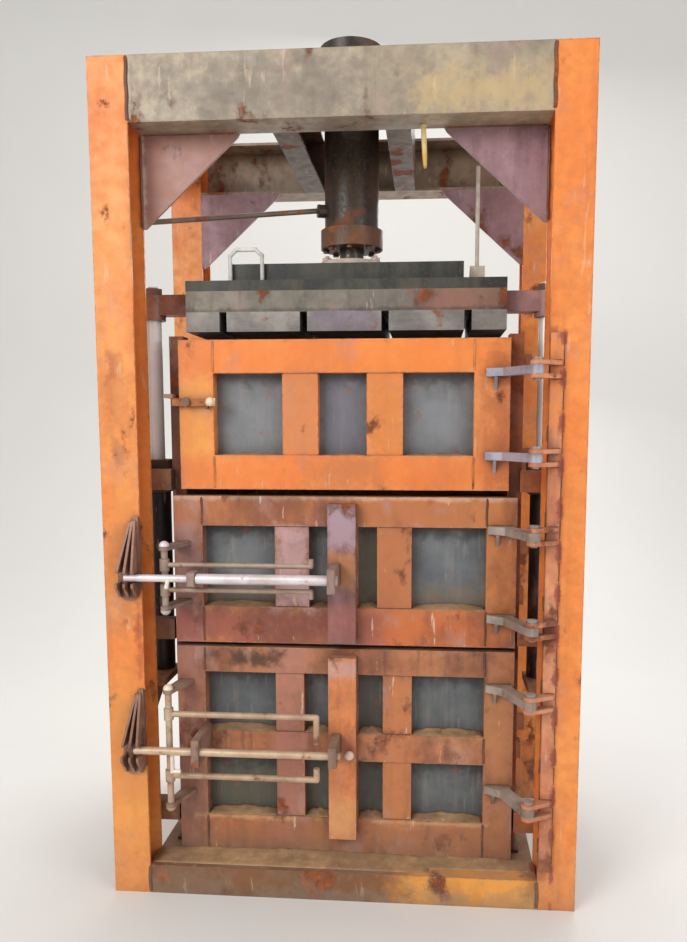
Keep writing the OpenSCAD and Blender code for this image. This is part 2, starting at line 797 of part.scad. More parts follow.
module lifting_loop() {
  x0 = -0.735 * px;
  x1 = -0.53 * px;
  y = cy - 228;
  z1 = pt_z1 + 110;
  color([0.86, 0.85, 0.82]) placed() {
    up(x0, y, pt_z1, z1 - 20, 14);
    up(x1, y, pt_z1, z1 - 20, 14);
    translate([x0, y, z1 - 20]) sphere(d = 16);
    translate([x1, y, z1 - 20]) sphere(d = 16);
    rod_to([x0, y, z1 - 20], [x0 + 22, y, z1], 14);
    rod_to([x1, y, z1 - 20], [x1 - 22, y, z1], 14);
    translate([x0 + 22, y, z1]) sphere(d = 16);
    translate([x1 - 22, y, z1]) sphere(d = 16);
    along(x0 + 22, x1 - 22, y, z1, 14);
  }
}

module level_rod() {
  x = 0.83 * px;
  color([0.82, 0.80, 0.76]) placed() {
    blk(x - 26, x + 26, cy - 140, cy - 90, pt_z1, pt_z1 + 62);
    up(x, cy - 115, pt_z1 + 60, pt_z1 + 400, 14);
  }
}

column_front_left();
column_front_right();
column_rear_left();
column_rear_right();
top_beam_front();
top_beam_rear();
top_ties();
cylinder_bridge();
gussets();
base_beam_front();
base_beam_rear();
base_rails();
floor_plate();
floor_bars();
wall_left();
wall_right();
wall_rear();
hinge_strip();
hinge_pins();
latch_brackets();
main_barrel();
main_gland();
cylinder_bolts();
side_barrels();
side_glands();
side_feet();
feed_pipe();
main_rod();
main_piston();
rod_flange();
flange_bolts();
platen_plate();
platen_frame();
pressing_bars();
ear_left();
ear_right();
side_rod_left();
side_rod_right();
rod_nuts();
lifting_loop();
level_rod();
top_frame();
top_sheet();
top_arms();
top_stud();
top_lever();
mid_frame();
mid_sheet();
mid_arms();
mid_lock_bar();
mid_mounts();
mid_bolt();
mid_bail();
low_frame();
low_sheet();
low_arms();
low_lock_bar();
low_mounts();
low_bolt();
low_bail();
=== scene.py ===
"""Looks of the upright baler: procedural paint, rust, grease and steel on the CAD pieces, with weld beads, dust, a rod
collar, a knob and a hanging pin added around them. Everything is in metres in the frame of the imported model."""
import math

import bpy
import numpy as np
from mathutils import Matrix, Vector


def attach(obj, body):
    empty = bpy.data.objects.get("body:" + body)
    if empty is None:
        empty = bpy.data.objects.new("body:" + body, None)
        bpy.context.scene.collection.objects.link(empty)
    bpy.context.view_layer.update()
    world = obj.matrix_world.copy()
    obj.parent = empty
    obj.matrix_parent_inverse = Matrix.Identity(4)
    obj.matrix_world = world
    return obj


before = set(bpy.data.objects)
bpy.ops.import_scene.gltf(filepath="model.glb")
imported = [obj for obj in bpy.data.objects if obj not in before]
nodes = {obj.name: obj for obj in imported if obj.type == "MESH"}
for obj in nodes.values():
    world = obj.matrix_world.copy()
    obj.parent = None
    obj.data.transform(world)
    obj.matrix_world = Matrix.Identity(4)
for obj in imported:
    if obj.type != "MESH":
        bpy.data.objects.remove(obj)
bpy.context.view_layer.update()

FRONT = -0.434  # y of the column fronts; places below are written as (x, y behind that plane, z)
DOOR_FACE, POST_FACE = 0.118, 0.123  # door fronts and the set-back posts between their rails, behind FRONT
SHEET_FACE, SHEET_BACK = 0.168, 0.172  # outer and inner faces of the door sheets
REAR = 0.93  # rear faces of the columns and beams
COLUMN_IN, COLUMN_OUT = 0.655, 0.78  # half distances over the columns' inner and outer edges
PHOTO_WIDTH = 687  # pixels


def lin(hexa):
    """Linear colour from a written one: each channel is ((c + 0.055) / 1.055) ** 2.4, or c / 12.92 near black."""
    c = np.array([int(hexa[i:i + 2], 16) / 255 for i in (0, 2, 4)])
    c = np.where(c <= 0.04045, c / 12.92, ((c + 0.055) / 1.055) ** 2.4)
    return (float(c[0]), float(c[1]), float(c[2]), 1.0)


# ---- node groups -------------------------------------------------------------------------------------------------

class Tree:
    """A node tree with short calls for the nodes that the finishes use."""

    def __init__(self, tree):
        self.t = tree

    def new(self, kind, **props):
        n = self.t.nodes.new(kind)
        for k, v in props.items():
            setattr(n, k, v)
        return n

    def put(self, value, socket):
        """Link an output to a socket, or write a plain value on it."""
        if isinstance(value, bpy.types.NodeSocket):
            self.t.links.new(value, socket)
        else:
            socket.default_value = value

    def math(self, op, a, b=0.0, clamp=False):
        n = self.new("ShaderNodeMath", operation=op, use_clamp=clamp)
        self.put(a, n.inputs[0])
        self.put(b, n.inputs[1])
        return n.outputs[0]

    def ramp(self, value, lo, hi, a=0.0, b=1.0):
        """Smooth step of value from lo to hi, put out between a and b."""
        n = self.new("ShaderNodeMapRange", interpolation_type="SMOOTHSTEP")
        self.put(value, n.inputs["Value"])
        for name, v in (("From Min", lo), ("From Max", hi), ("To Min", a), ("To Max", b)):
            self.put(v, n.inputs[name])
        return n.outputs[0]

    def mix(self, fac, a, b):
        n = self.new("ShaderNodeMix", data_type="RGBA")
        self.put(fac, n.inputs[0])
        self.put(a, n.inputs[6])
        self.put(b, n.inputs[7])
        return n.outputs[2]

    def noise(self, vec, scale, detail=4.0, rough=0.6):
        n = self.new("ShaderNodeTexNoise")
        self.put(vec, n.inputs["Vector"])
        self.put(scale, n.inputs["Scale"])
        self.put(detail, n.inputs["Detail"])
        self.put(rough, n.inputs["Roughness"])
        return n.outputs["Fac"]

    def lay(self, col, mask, amount, over):
        """Lay a colour over col through a mask, at most by amount."""
        return self.mix(self.math("MULTIPLY", mask, amount), col, over)

    def coords(self):
        """Object coordinates: metres in the frame, because every piece has its origin there."""
        return self.new("ShaderNodeTexCoord").outputs["Object"]

    def normal(self):
        """The surface's normal, bump left out."""
        return self.new("ShaderNodeNewGeometry").outputs["Normal"]

    def scaled(self, vec, scale):
        """A vector drawn out or shortened along each axis."""
        n = self.new("ShaderNodeMapping")
        self.put(vec, n.inputs["Vector"])
        self.put(scale, n.inputs["Scale"])
        return n.outputs[0]

    def split(self, vec):
        """The x, y and z of a vector."""
        n = self.new("ShaderNodeSeparateXYZ")
        self.put(vec, n.inputs[0])
        return n.outputs

    def join(self, *parts):
        """A vector from its x, y and z."""
        n = self.new("ShaderNodeCombineXYZ")
        for k, v in enumerate(parts):
            self.put(v, n.inputs[k])
        return n.outputs[0]

    def vector(self, op, a, b=None):
        """Vector maths on a and b, or on a alone."""
        n = self.new("ShaderNodeVectorMath", operation=op)
        self.put(a, n.inputs[0])
        if b is not None:
            self.put(b, n.inputs[1])
        return n.outputs["Value" if op == "DOT_PRODUCT" else "Vector"]

    def mask(self, grp, **values):
        """Place one of the mask groups with its own values, by input name."""
        n = self.new("ShaderNodeGroup", node_tree=grp)
        for k, v in values.items():
            self.put(v, n.inputs[k])
        return n.outputs["Mask"]


def mask_group(name, **inputs):
    """Node group with one output, Mask, and an input for each name and default: a number, or a vector."""
    g = bpy.data.node_groups.new(name, "ShaderNodeTree")
    for key, default in inputs.items():
        kind = "NodeSocketVector" if isinstance(default, tuple) else "NodeSocketFloat"
        g.interface.new_socket(name=key, in_out="INPUT", socket_type=kind).default_value = default
    g.interface.new_socket(name="Mask", in_out="OUTPUT", socket_type="NodeSocketFloat")
    t = Tree(g)
    return g, t, t.new("NodeGroupInput"), t.new("NodeGroupOutput")


def make_patches():
    """Ragged islands: layered noise on stretched Object coordinates, cut between Low and High."""
    g, t, i, o = mask_group("ragged patches", Scale=8.0, Low=0.5, High=0.6, Stretch=1.0, Shift=0.0)
    drawn = t.vector("MULTIPLY", t.coords(), t.join(1.0, 1.0, i.outputs["Stretch"]))
    moved = t.vector("ADD", drawn, t.join(*[i.outputs["Shift"]] * 3))
    f = t.noise(moved, i.outputs["Scale"], 6.0, 0.62)
    t.put(t.ramp(f, i.outputs["Low"], i.outputs["High"]), o.inputs["Mask"])
    return g


def make_edges():
    """Rubbed edges: how far the normal of a rounded corner leans from the true one, broken up by fine noise."""
    g, t, i, o = mask_group("rubbed edges", Width=0.004, Amount=1.0)
    bev = t.new("ShaderNodeBevel", samples=3)
    t.put(i.outputs["Width"], bev.inputs["Radius"])
    dot = t.vector("DOT_PRODUCT", bev.outputs[0], t.normal())
    lean = t.math("MULTIPLY", t.math("SUBTRACT", 1.0, dot), 7.0, clamp=True)
    rag = t.ramp(t.noise(t.coords(), 45.0, 5.0, 0.7), 0.42, 0.62)
    t.put(t.math("MULTIPLY", t.math("MULTIPLY", lean, rag), i.outputs["Amount"], clamp=True), o.inputs["Mask"])
    return g


def make_corners():
    """Dirt and painted shade in corners and between parts: the share of nearby space that a point can't see,
    broken up by noise.
    """
    g, t, i, o = mask_group("corner dirt and painted shade", Reach=0.05, Amount=1.0)
    # Ambient occlusion: the mask paints the shade that falls where nearby parts hide a point.
    ao = t.new("ShaderNodeAmbientOcclusion", samples=4, only_local=False)
    t.put(i.outputs["Reach"], ao.inputs["Distance"])
    hid = t.math("SUBTRACT", 1.0, ao.outputs["AO"])
    rag = t.ramp(t.noise(t.coords(), 22.0, 5.0, 0.65), 0.25, 0.7, 0.35, 1.0)
    t.put(t.math("MULTIPLY", t.math("MULTIPLY", hid, rag), i.outputs["Amount"], clamp=True), o.inputs["Mask"])
    return g


def make_low():
    """Splash and dust that fades with height between Bottom and Top, and lies thicker on upward faces."""
    g, t, i, o = mask_group("dust by height", Bottom=0.0, Top=0.5, Ledges=0.8)
    co = t.coords()
    n1 = t.noise(co, 7.0, 6.0, 0.65)
    z = t.math("ADD", t.split(co)[2], t.math("MULTIPLY", t.math("SUBTRACT", n1, 0.5), 0.6))
    low = t.ramp(z, i.outputs["Bottom"], i.outputs["Top"], 1.0, 0.0)
    up = t.ramp(t.split(t.normal())[2], 0.55, 0.95)
    ledge = t.math("MULTIPLY", t.math("MULTIPLY", up, t.ramp(n1, 0.3, 0.62)), i.outputs["Ledges"])
    t.put(t.math("MAXIMUM", t.math("MULTIPLY", low, t.ramp(n1, 0.2, 0.6)), ledge), o.inputs["Mask"])
    return g


def make_zone():
    """A soft-edged box: the largest of |Object coordinate - Centre| - Half, roughened by noise, cut over Soft."""
    g, t, i, o = mask_group("zone", Centre=(0, 0, 0), Half=(1, 1, 1), Soft=0.03)
    co = t.coords()
    away = t.vector("ABSOLUTE", t.vector("SUBTRACT", co, i.outputs["Centre"]))
    over = t.split(t.vector("SUBTRACT", away, i.outputs["Half"]))
    far = t.math("MAXIMUM", t.math("MAXIMUM", over[0], over[1]), over[2])
    rag = t.math("MULTIPLY", t.math("SUBTRACT", t.noise(co, 24.0, 6.0, 0.65), 0.5),
                 t.math("MULTIPLY", i.outputs["Soft"], 5.0))
    t.put(t.ramp(t.math("DIVIDE", t.math("ADD", far, rag), i.outputs["Soft"]), -1.0, 1.0, 1.0, 0.0),
          o.inputs["Mask"])
    return g


def make_stitch():
    """Burnt spots beside stitch welds: near the line x = X0 below 1.9 m, every Pitch of height from Z0, ragged."""
    g, t, i, o = mask_group("stitch stains", X0=0.0, Z0=0.0, Pitch=0.135, Wide=0.02)
    co = t.coords()
    x, _, z = t.split(co)
    rag = t.math("MULTIPLY", t.math("SUBTRACT", t.noise(co, 60.0, 4.0, 0.7), 0.5), 2.2)
    across = t.math("DIVIDE", t.math("ABSOLUTE", t.math("SUBTRACT", x, i.outputs["X0"])), i.outputs["Wide"])
    turn = t.math("DIVIDE", t.math("SUBTRACT", z, i.outputs["Z0"]), i.outputs["Pitch"])
    along = t.math("MULTIPLY", t.math("ABSOLUTE", t.math("SUBTRACT", t.math("FRACT", turn), 0.5)), 3.4)
    dist = t.math("SQRT", t.math("ADD", t.math("MULTIPLY", across, across), t.math("MULTIPLY", along, along)))
    spot = t.ramp(t.math("ADD", dist, rag), 0.5, 1.2, 1.0, 0.0)
    t.put(t.math("MULTIPLY", spot, t.ramp(z, 1.88, 1.9, 1.0, 0.0)), o.inputs["Mask"])
    return g


G_PATCH, G_EDGE, G_CORNER, G_LOW = make_patches(), make_edges(), make_corners(), make_low()
G_ZONE, G_STITCH = make_zone(), make_stitch()

# ---- finishes ----------------------------------------------------------------------------------------------------

RUST_A, RUST_B = lin("6E3A20"), lin("A4592C")
# GREASE_AND_SHADE darkens the corners of greasy parts through occlusion: grease gathered there and painted shade.
DUST, GREASE_AND_SHADE = lin("8E7F6C"), lin("1E1A16")


def start(name):
    """New node material: the material, its tree and its shader."""
    m = bpy.data.materials.new(name)
    m.use_nodes = True
    t = Tree(m.node_tree)
    return m, t, m.node_tree.nodes["Principled BSDF"]


def rough_normal(t, bsdf, height, strength, distance):
    """Bump from a height between 0 and 1; distance is in metres."""
    bump = t.new("ShaderNodeBump")
    bump.inputs["Strength"].default_value = strength
    bump.inputs["Distance"].default_value = distance
    t.put(height, bump.inputs["Height"])
    t.put(bump.outputs[0], bsdf.inputs["Normal"])


def with_zones(t, col, zones):
    """Lay soft-edged fields of another colour over col: (middle, half size, softness, colour, strength)."""
    for mid, half, soft, hexa, amount in zones:
        m = t.mask(G_ZONE, Centre=(mid[0], FRONT + mid[1], mid[2]), Half=half, Soft=soft)
        col = t.lay(col, m, amount, lin(hexa))
    return col


def painted(name, base, light, dark, rust=0.5, chip=1.0, dust=0.4, grime_and_shade=0.9, streak=0.4, low=(0.0, 0.35), shift=0.0,
            bare="8A7F76", spread=3.0, zones=(), stitch=None, late=(), wear=0.6):
    """Brushed paint: broad light and dark fields, runs, rust islands with a dark rim, bare rubbed edges, dirt and
    painted shade in the corners and between parts, and splash near the ground."""
    m, t, bsdf = start(name)
    field = t.mask(G_PATCH, Scale=spread, Low=0.36, High=0.66, Shift=shift)
    fine = t.mask(G_PATCH, Scale=26.0, Low=0.35, High=0.7, Shift=shift + 3.0)
    runs = t.mask(G_PATCH, Scale=16.0, Low=0.5, High=0.72, Stretch=0.09, Shift=shift + 7.0)
    more = 0.1 * (rust - 0.5)  # a lower cut makes larger islands
    isl = t.mask(G_PATCH, Scale=6.5, Low=0.60 - more, High=0.645 - more, Stretch=0.75, Shift=shift + 11.0)
    rim = t.mask(G_PATCH, Scale=6.5, Low=0.56 - more, High=0.62 - more, Stretch=0.75, Shift=shift + 11.0)
    edge = t.mask(G_EDGE, Width=0.008, Amount=chip)
    corner = t.mask(G_CORNER, Reach=0.06, Amount=grime_and_shade)
    lowm = t.mask(G_LOW, Bottom=low[0], Top=low[1], Ledges=0.8)
    col = t.mix(field, lin(base), lin(light))
    col = t.lay(col, fine, 0.35, lin(dark))
    col = t.lay(col, runs, streak, lin(dark))
    col = with_zones(t, col, zones)
    smut = t.mask(G_PATCH, Scale=4.5, Low=0.47, High=0.66, Stretch=0.6, Shift=shift + 15.0)
    col = t.lay(col, smut, 0.45 * wear, lin(dark))
    pale = t.mask(G_PATCH, Scale=9.0, Low=0.54, High=0.68, Stretch=0.5, Shift=shift + 17.0)
    col = t.lay(col, pale, 0.4 * wear, lin("B48A80"))
    line = t.mask(G_PATCH, Scale=38.0, Low=0.63, High=0.68, Stretch=0.16, Shift=shift + 19.0)
    col = t.lay(col, line, 0.55 * wear, lin("E0C4A8"))
    col = t.lay(col, rim, 0.55, lin(dark))
    col = t.mix(isl, col, t.mix(fine, RUST_A, RUST_B))
    col = t.mix(edge, col, t.mix(fine, RUST_A, lin(bare)))
    # Corners and gaps between parts darkened through occlusion: dirt and painted shade.
    col = t.lay(col, corner, 0.85, lin("3A2A20"))
    if stitch:
        burn = t.mask(G_STITCH, X0=stitch[0], Z0=stitch[1], Pitch=stitch[2], Wide=stitch[3])
        col = t.lay(col, burn, 0.75, lin("863630"))
    col = t.lay(col, lowm, dust, DUST)
    col = with_zones(t, col, late)
    t.put(col, bsdf.inputs["Base Color"])
    rgh = t.math("ADD", 0.42, t.math("MULTIPLY", fine, 0.14))
    rgh = t.math("ADD", rgh, t.math("MULTIPLY", t.math("MAXIMUM", isl, lowm), 0.35), clamp=True)
    t.put(rgh, bsdf.inputs["Roughness"])
    peel = t.noise(t.coords(), 260.0, 2.0, 0.5)
    h = t.math("SUBTRACT", t.math("MULTIPLY", peel, 0.25), t.math("MULTIPLY", t.math("MAXIMUM", isl, edge), 0.8))
    h = t.math("ADD", h, t.math("MULTIPLY", t.math("MULTIPLY", isl, fine), 0.6))
    rough_normal(t, bsdf, h, 0.45, 0.0012)
    return m


def steel(name, base, light, rust=0.4, shine=0.45, metal=0.75, grime_and_shade=0.9, shift=0.0, brush=(1.0, 1.0, 0.06),
          rub=0.8, late=()):
    """Bare steel: rolling marks drawn out along one axis, rust bloom, corners darkened by grime and painted shade,
    and bright rubbed edges.
    """
    m, t, bsdf = start(name)
    marks = t.ramp(t.noise(t.scaled(t.coords(), brush), 130.0, 4.0, 0.7), 0.3, 0.7)
    field = t.mask(G_PATCH, Scale=9.0, Low=0.35, High=0.68, Shift=shift)
    bloom = t.mask(G_PATCH, Scale=15.0, Low=0.66 - 0.22 * rust, High=0.78 - 0.2 * rust, Shift=shift + 5.0)
    fine = t.mask(G_PATCH, Scale=60.0, Low=0.35, High=0.65, Shift=shift + 2.0)
    edge = t.mask(G_EDGE, Width=0.003, Amount=rub)
    corner = t.mask(G_CORNER, Reach=0.035, Amount=grime_and_shade)
    lowm = t.mask(G_LOW, Bottom=0.0, Top=0.3, Ledges=0.8)
    col = t.mix(field, lin(base), lin(light))
    col = t.lay(col, marks, 0.3, lin(light))
    col = t.lay(col, bloom, 0.85, t.mix(fine, RUST_A, RUST_B))
    col = t.lay(col, edge, 0.7, lin("B8B2AA"))
    # Corners and gaps between parts darkened through occlusion: grime and painted shade.
    col = t.lay(col, corner, 0.8, lin("241C17"))
    col = t.lay(col, lowm, 0.35, DUST)
    col = with_zones(t, col, late)
    t.put(col, bsdf.inputs["Base Color"])
    dull = t.math("MAXIMUM", bloom, t.math("MAXIMUM", corner, lowm), clamp=True)
    t.put(t.math("MULTIPLY", t.math("SUBTRACT", 1.0, dull), metal, clamp=True), bsdf.inputs["Metallic"])
    r = t.math("ADD", shine, t.math("MULTIPLY", marks, 0.12))
    t.put(t.math("ADD", r, t.math("MULTIPLY", dull, 0.35), clamp=True), bsdf.inputs["Roughness"])
    h = t.math("ADD", t.math("MULTIPLY", marks, 0.2), t.math("MULTIPLY", t.math("MULTIPLY", bloom, fine), 0.8))
    rough_normal(t, bsdf, h, 0.4, 0.001)
    return m


def greasy(name, base, glow, rust="8A4A24", warm=0.5, shift=0.0, wet=0.35):
    """Oily dark metal: thick grease with wet spots, rust showing through where it is wiped, grit stuck in it, and
    corners darkened by grease and painted shade.
    """
    m, t, bsdf = start(name)
    smear = t.mask(G_PATCH, Scale=10.0, Low=0.38, High=0.6, Stretch=0.35, Shift=shift)
    wiped = t.mask(G_PATCH, Scale=7.0, Low=0.66 - 0.2 * warm, High=0.8 - 0.2 * warm, Shift=shift + 4.0)
    grit = t.mask(G_PATCH, Scale=90.0, Low=0.52, High=0.66, Shift=shift + 8.0)
    corner = t.mask(G_CORNER, Reach=0.05, Amount=0.9)
    lowm = t.mask(G_LOW, Bottom=-1.0, Top=-0.5, Ledges=0.55)
    col = t.mix(smear, lin(base), lin(glow))
    col = t.lay(col, wiped, 0.85, lin(rust))
    col = t.lay(col, grit, 0.5, lin("5B4C3D"))
    col = t.lay(col, lowm, 0.7, DUST)
    # Corners and gaps between parts darkened through occlusion: grease and painted shade.
    col = t.lay(col, corner, 0.8, GREASE_AND_SHADE)
    t.put(col, bsdf.inputs["Base Color"])
    r = t.math("ADD", wet, t.math("MULTIPLY", t.math("MAXIMUM", wiped, lowm), 0.4))
    t.put(t.math("ADD", r, t.math("MULTIPLY", grit, 0.15), clamp=True), bsdf.inputs["Roughness"])
    h = t.math("ADD", t.math("MULTIPLY", smear, 0.5), t.math("MULTIPLY", grit, 0.5))
    rough_normal(t, bsdf, h, 0.4, 0.0015)
    return m


def sheet_metal(name, base, light, shift=0.0, zones=()):
    """Thin sheet behind the bars: blue-grey mill skin, dusty towards the ledges, scratched by the bales, with painted
    shade in its corners; zones lay dust and painted shadow on its outer face only.
    """
    m, t, bsdf = start(name)
    field = t.mask(G_PATCH, Scale=5.0, Low=0.36, High=0.66, Shift=shift)
    runs = t.mask(G_PATCH, Scale=30.0, Low=0.45, High=0.75, Stretch=0.08, Shift=shift + 3.0)
    scr = t.mask(G_PATCH, Scale=55.0, Low=0.6, High=0.68, Stretch=0.12, Shift=shift + 9.0)
    spot = t.mask(G_PATCH, Scale=22.0, Low=0.6, High=0.7, Shift=shift + 6.0)
    corner = t.mask(G_CORNER, Reach=0.09, Amount=1.0)
    col = t.mix(field, lin(base), lin(light))
    col = t.lay(col, runs, 0.3, lin("8E887E"))
    col = t.lay(col, scr, 0.28, lin("AAA69E"))
    outside = t.ramp(t.split(t.coords())[1], FRONT + SHEET_FACE + 0.001, FRONT + SHEET_BACK - 0.001, 1.0, 0.0)
    col = t.mix(outside, col, with_zones(t, col, zones))
    col = t.lay(col, spot, 0.5, RUST_B)
    # Recesses and corners darkened through occlusion: grime and painted shade.
    col = t.lay(col, corner, 0.75, lin("2C2522"))
    t.put(col, bsdf.inputs["Base Color"])
    t.put(t.math("ADD", 0.5, t.math("MULTIPLY", field, 0.2)), bsdf.inputs["Roughness"])
    t.put(t.math("MULTIPLY", t.math("SUBTRACT", 1.0, t.math("MAXIMUM", corner, runs), clamp=True), 0.35),
          bsdf.inputs["Metallic"])
    rough_normal(t, bsdf, t.math("ADD", field, t.math("MULTIPLY", scr, -0.3)), 0.3, 0.002)
    return m


def rod_finish(name, base, mark, metal=0.2, shine=0.3, shift=0.0):
    """Ground rod: pale skin with fine rings round the axis, oil film and a few brown wipes, and painted shade in its
    corners; on the left rod the near-white base is a painted sky reflection.
    """
    m, t, bsdf = start(name)
    rings = t.ramp(t.noise(t.scaled(t.coords(), (0.02, 0.02, 1.0)), 420.0, 3.0, 0.6), 0.35, 0.65)
    wipe = t.mask(G_PATCH, Scale=18.0, Low=0.58, High=0.74, Stretch=0.3, Shift=shift)
    col = t.mix(t.math("MULTIPLY", rings, 0.12), lin(base), lin("D4D0CA"))
    col = t.lay(col, wipe, 0.7, lin(mark))
    # Corners darkened through occlusion: grime and painted shade.
    corner = t.mask(G_CORNER, Reach=0.03, Amount=0.9)
    col = t.lay(col, corner, 0.6, lin("3A2E26"))
    t.put(col, bsdf.inputs["Base Color"])
    t.put(t.math("ADD", shine, t.math("MULTIPLY", wipe, 0.3)), bsdf.inputs["Roughness"])
    t.put(t.math("MULTIPLY", t.math("SUBTRACT", 1.0, wipe), metal), bsdf.inputs["Metallic"])
    rough_normal(t, bsdf, rings, 0.12, 0.0005)
    return m


ORANGE = dict(base="EE8636", light="F4A050", dark="B4602C")
# Rust marks and faded fields on the left column, for with_zones.
LEFT_SCARS = [((-0.735, 0.0, 1.70), (0.004, 0.05, 0.075), 0.022, "A04A26", 0.8),
              ((-0.725, 0.0, 1.52), (0.002, 0.05, 0.03), 0.018, "8A3E22", 0.75),
              ((-0.724, 0.0, 1.785), (0.02, 0.05, 0.045), 0.02, "A04E2E", 0.85),
              ((-0.714, 0.0, 1.67), (0.03, 0.05, 0.085), 0.03, "BE6C40", 0.7),
              ((-0.716, 0.0, 1.50), (0.016, 0.05, 0.026), 0.016, "8A4630", 0.85),
              ((-0.70, 0.0, 1.10), (0.05, 0.05, 0.16), 0.05, "C07A4A", 0.6),
              ((-0.668, 0.0, 0.88), (0.008, 0.05, 0.13), 0.016, "A84A2A", 0.75),
              ((-0.71, 0.0, 1.9), (0.02, 0.05, 0.6), 0.03, "EE9C50", 0.45),
              ((-0.70, 0.0, 0.50), (0.05, 0.05, 0.16), 0.05, "B87248", 0.6)]
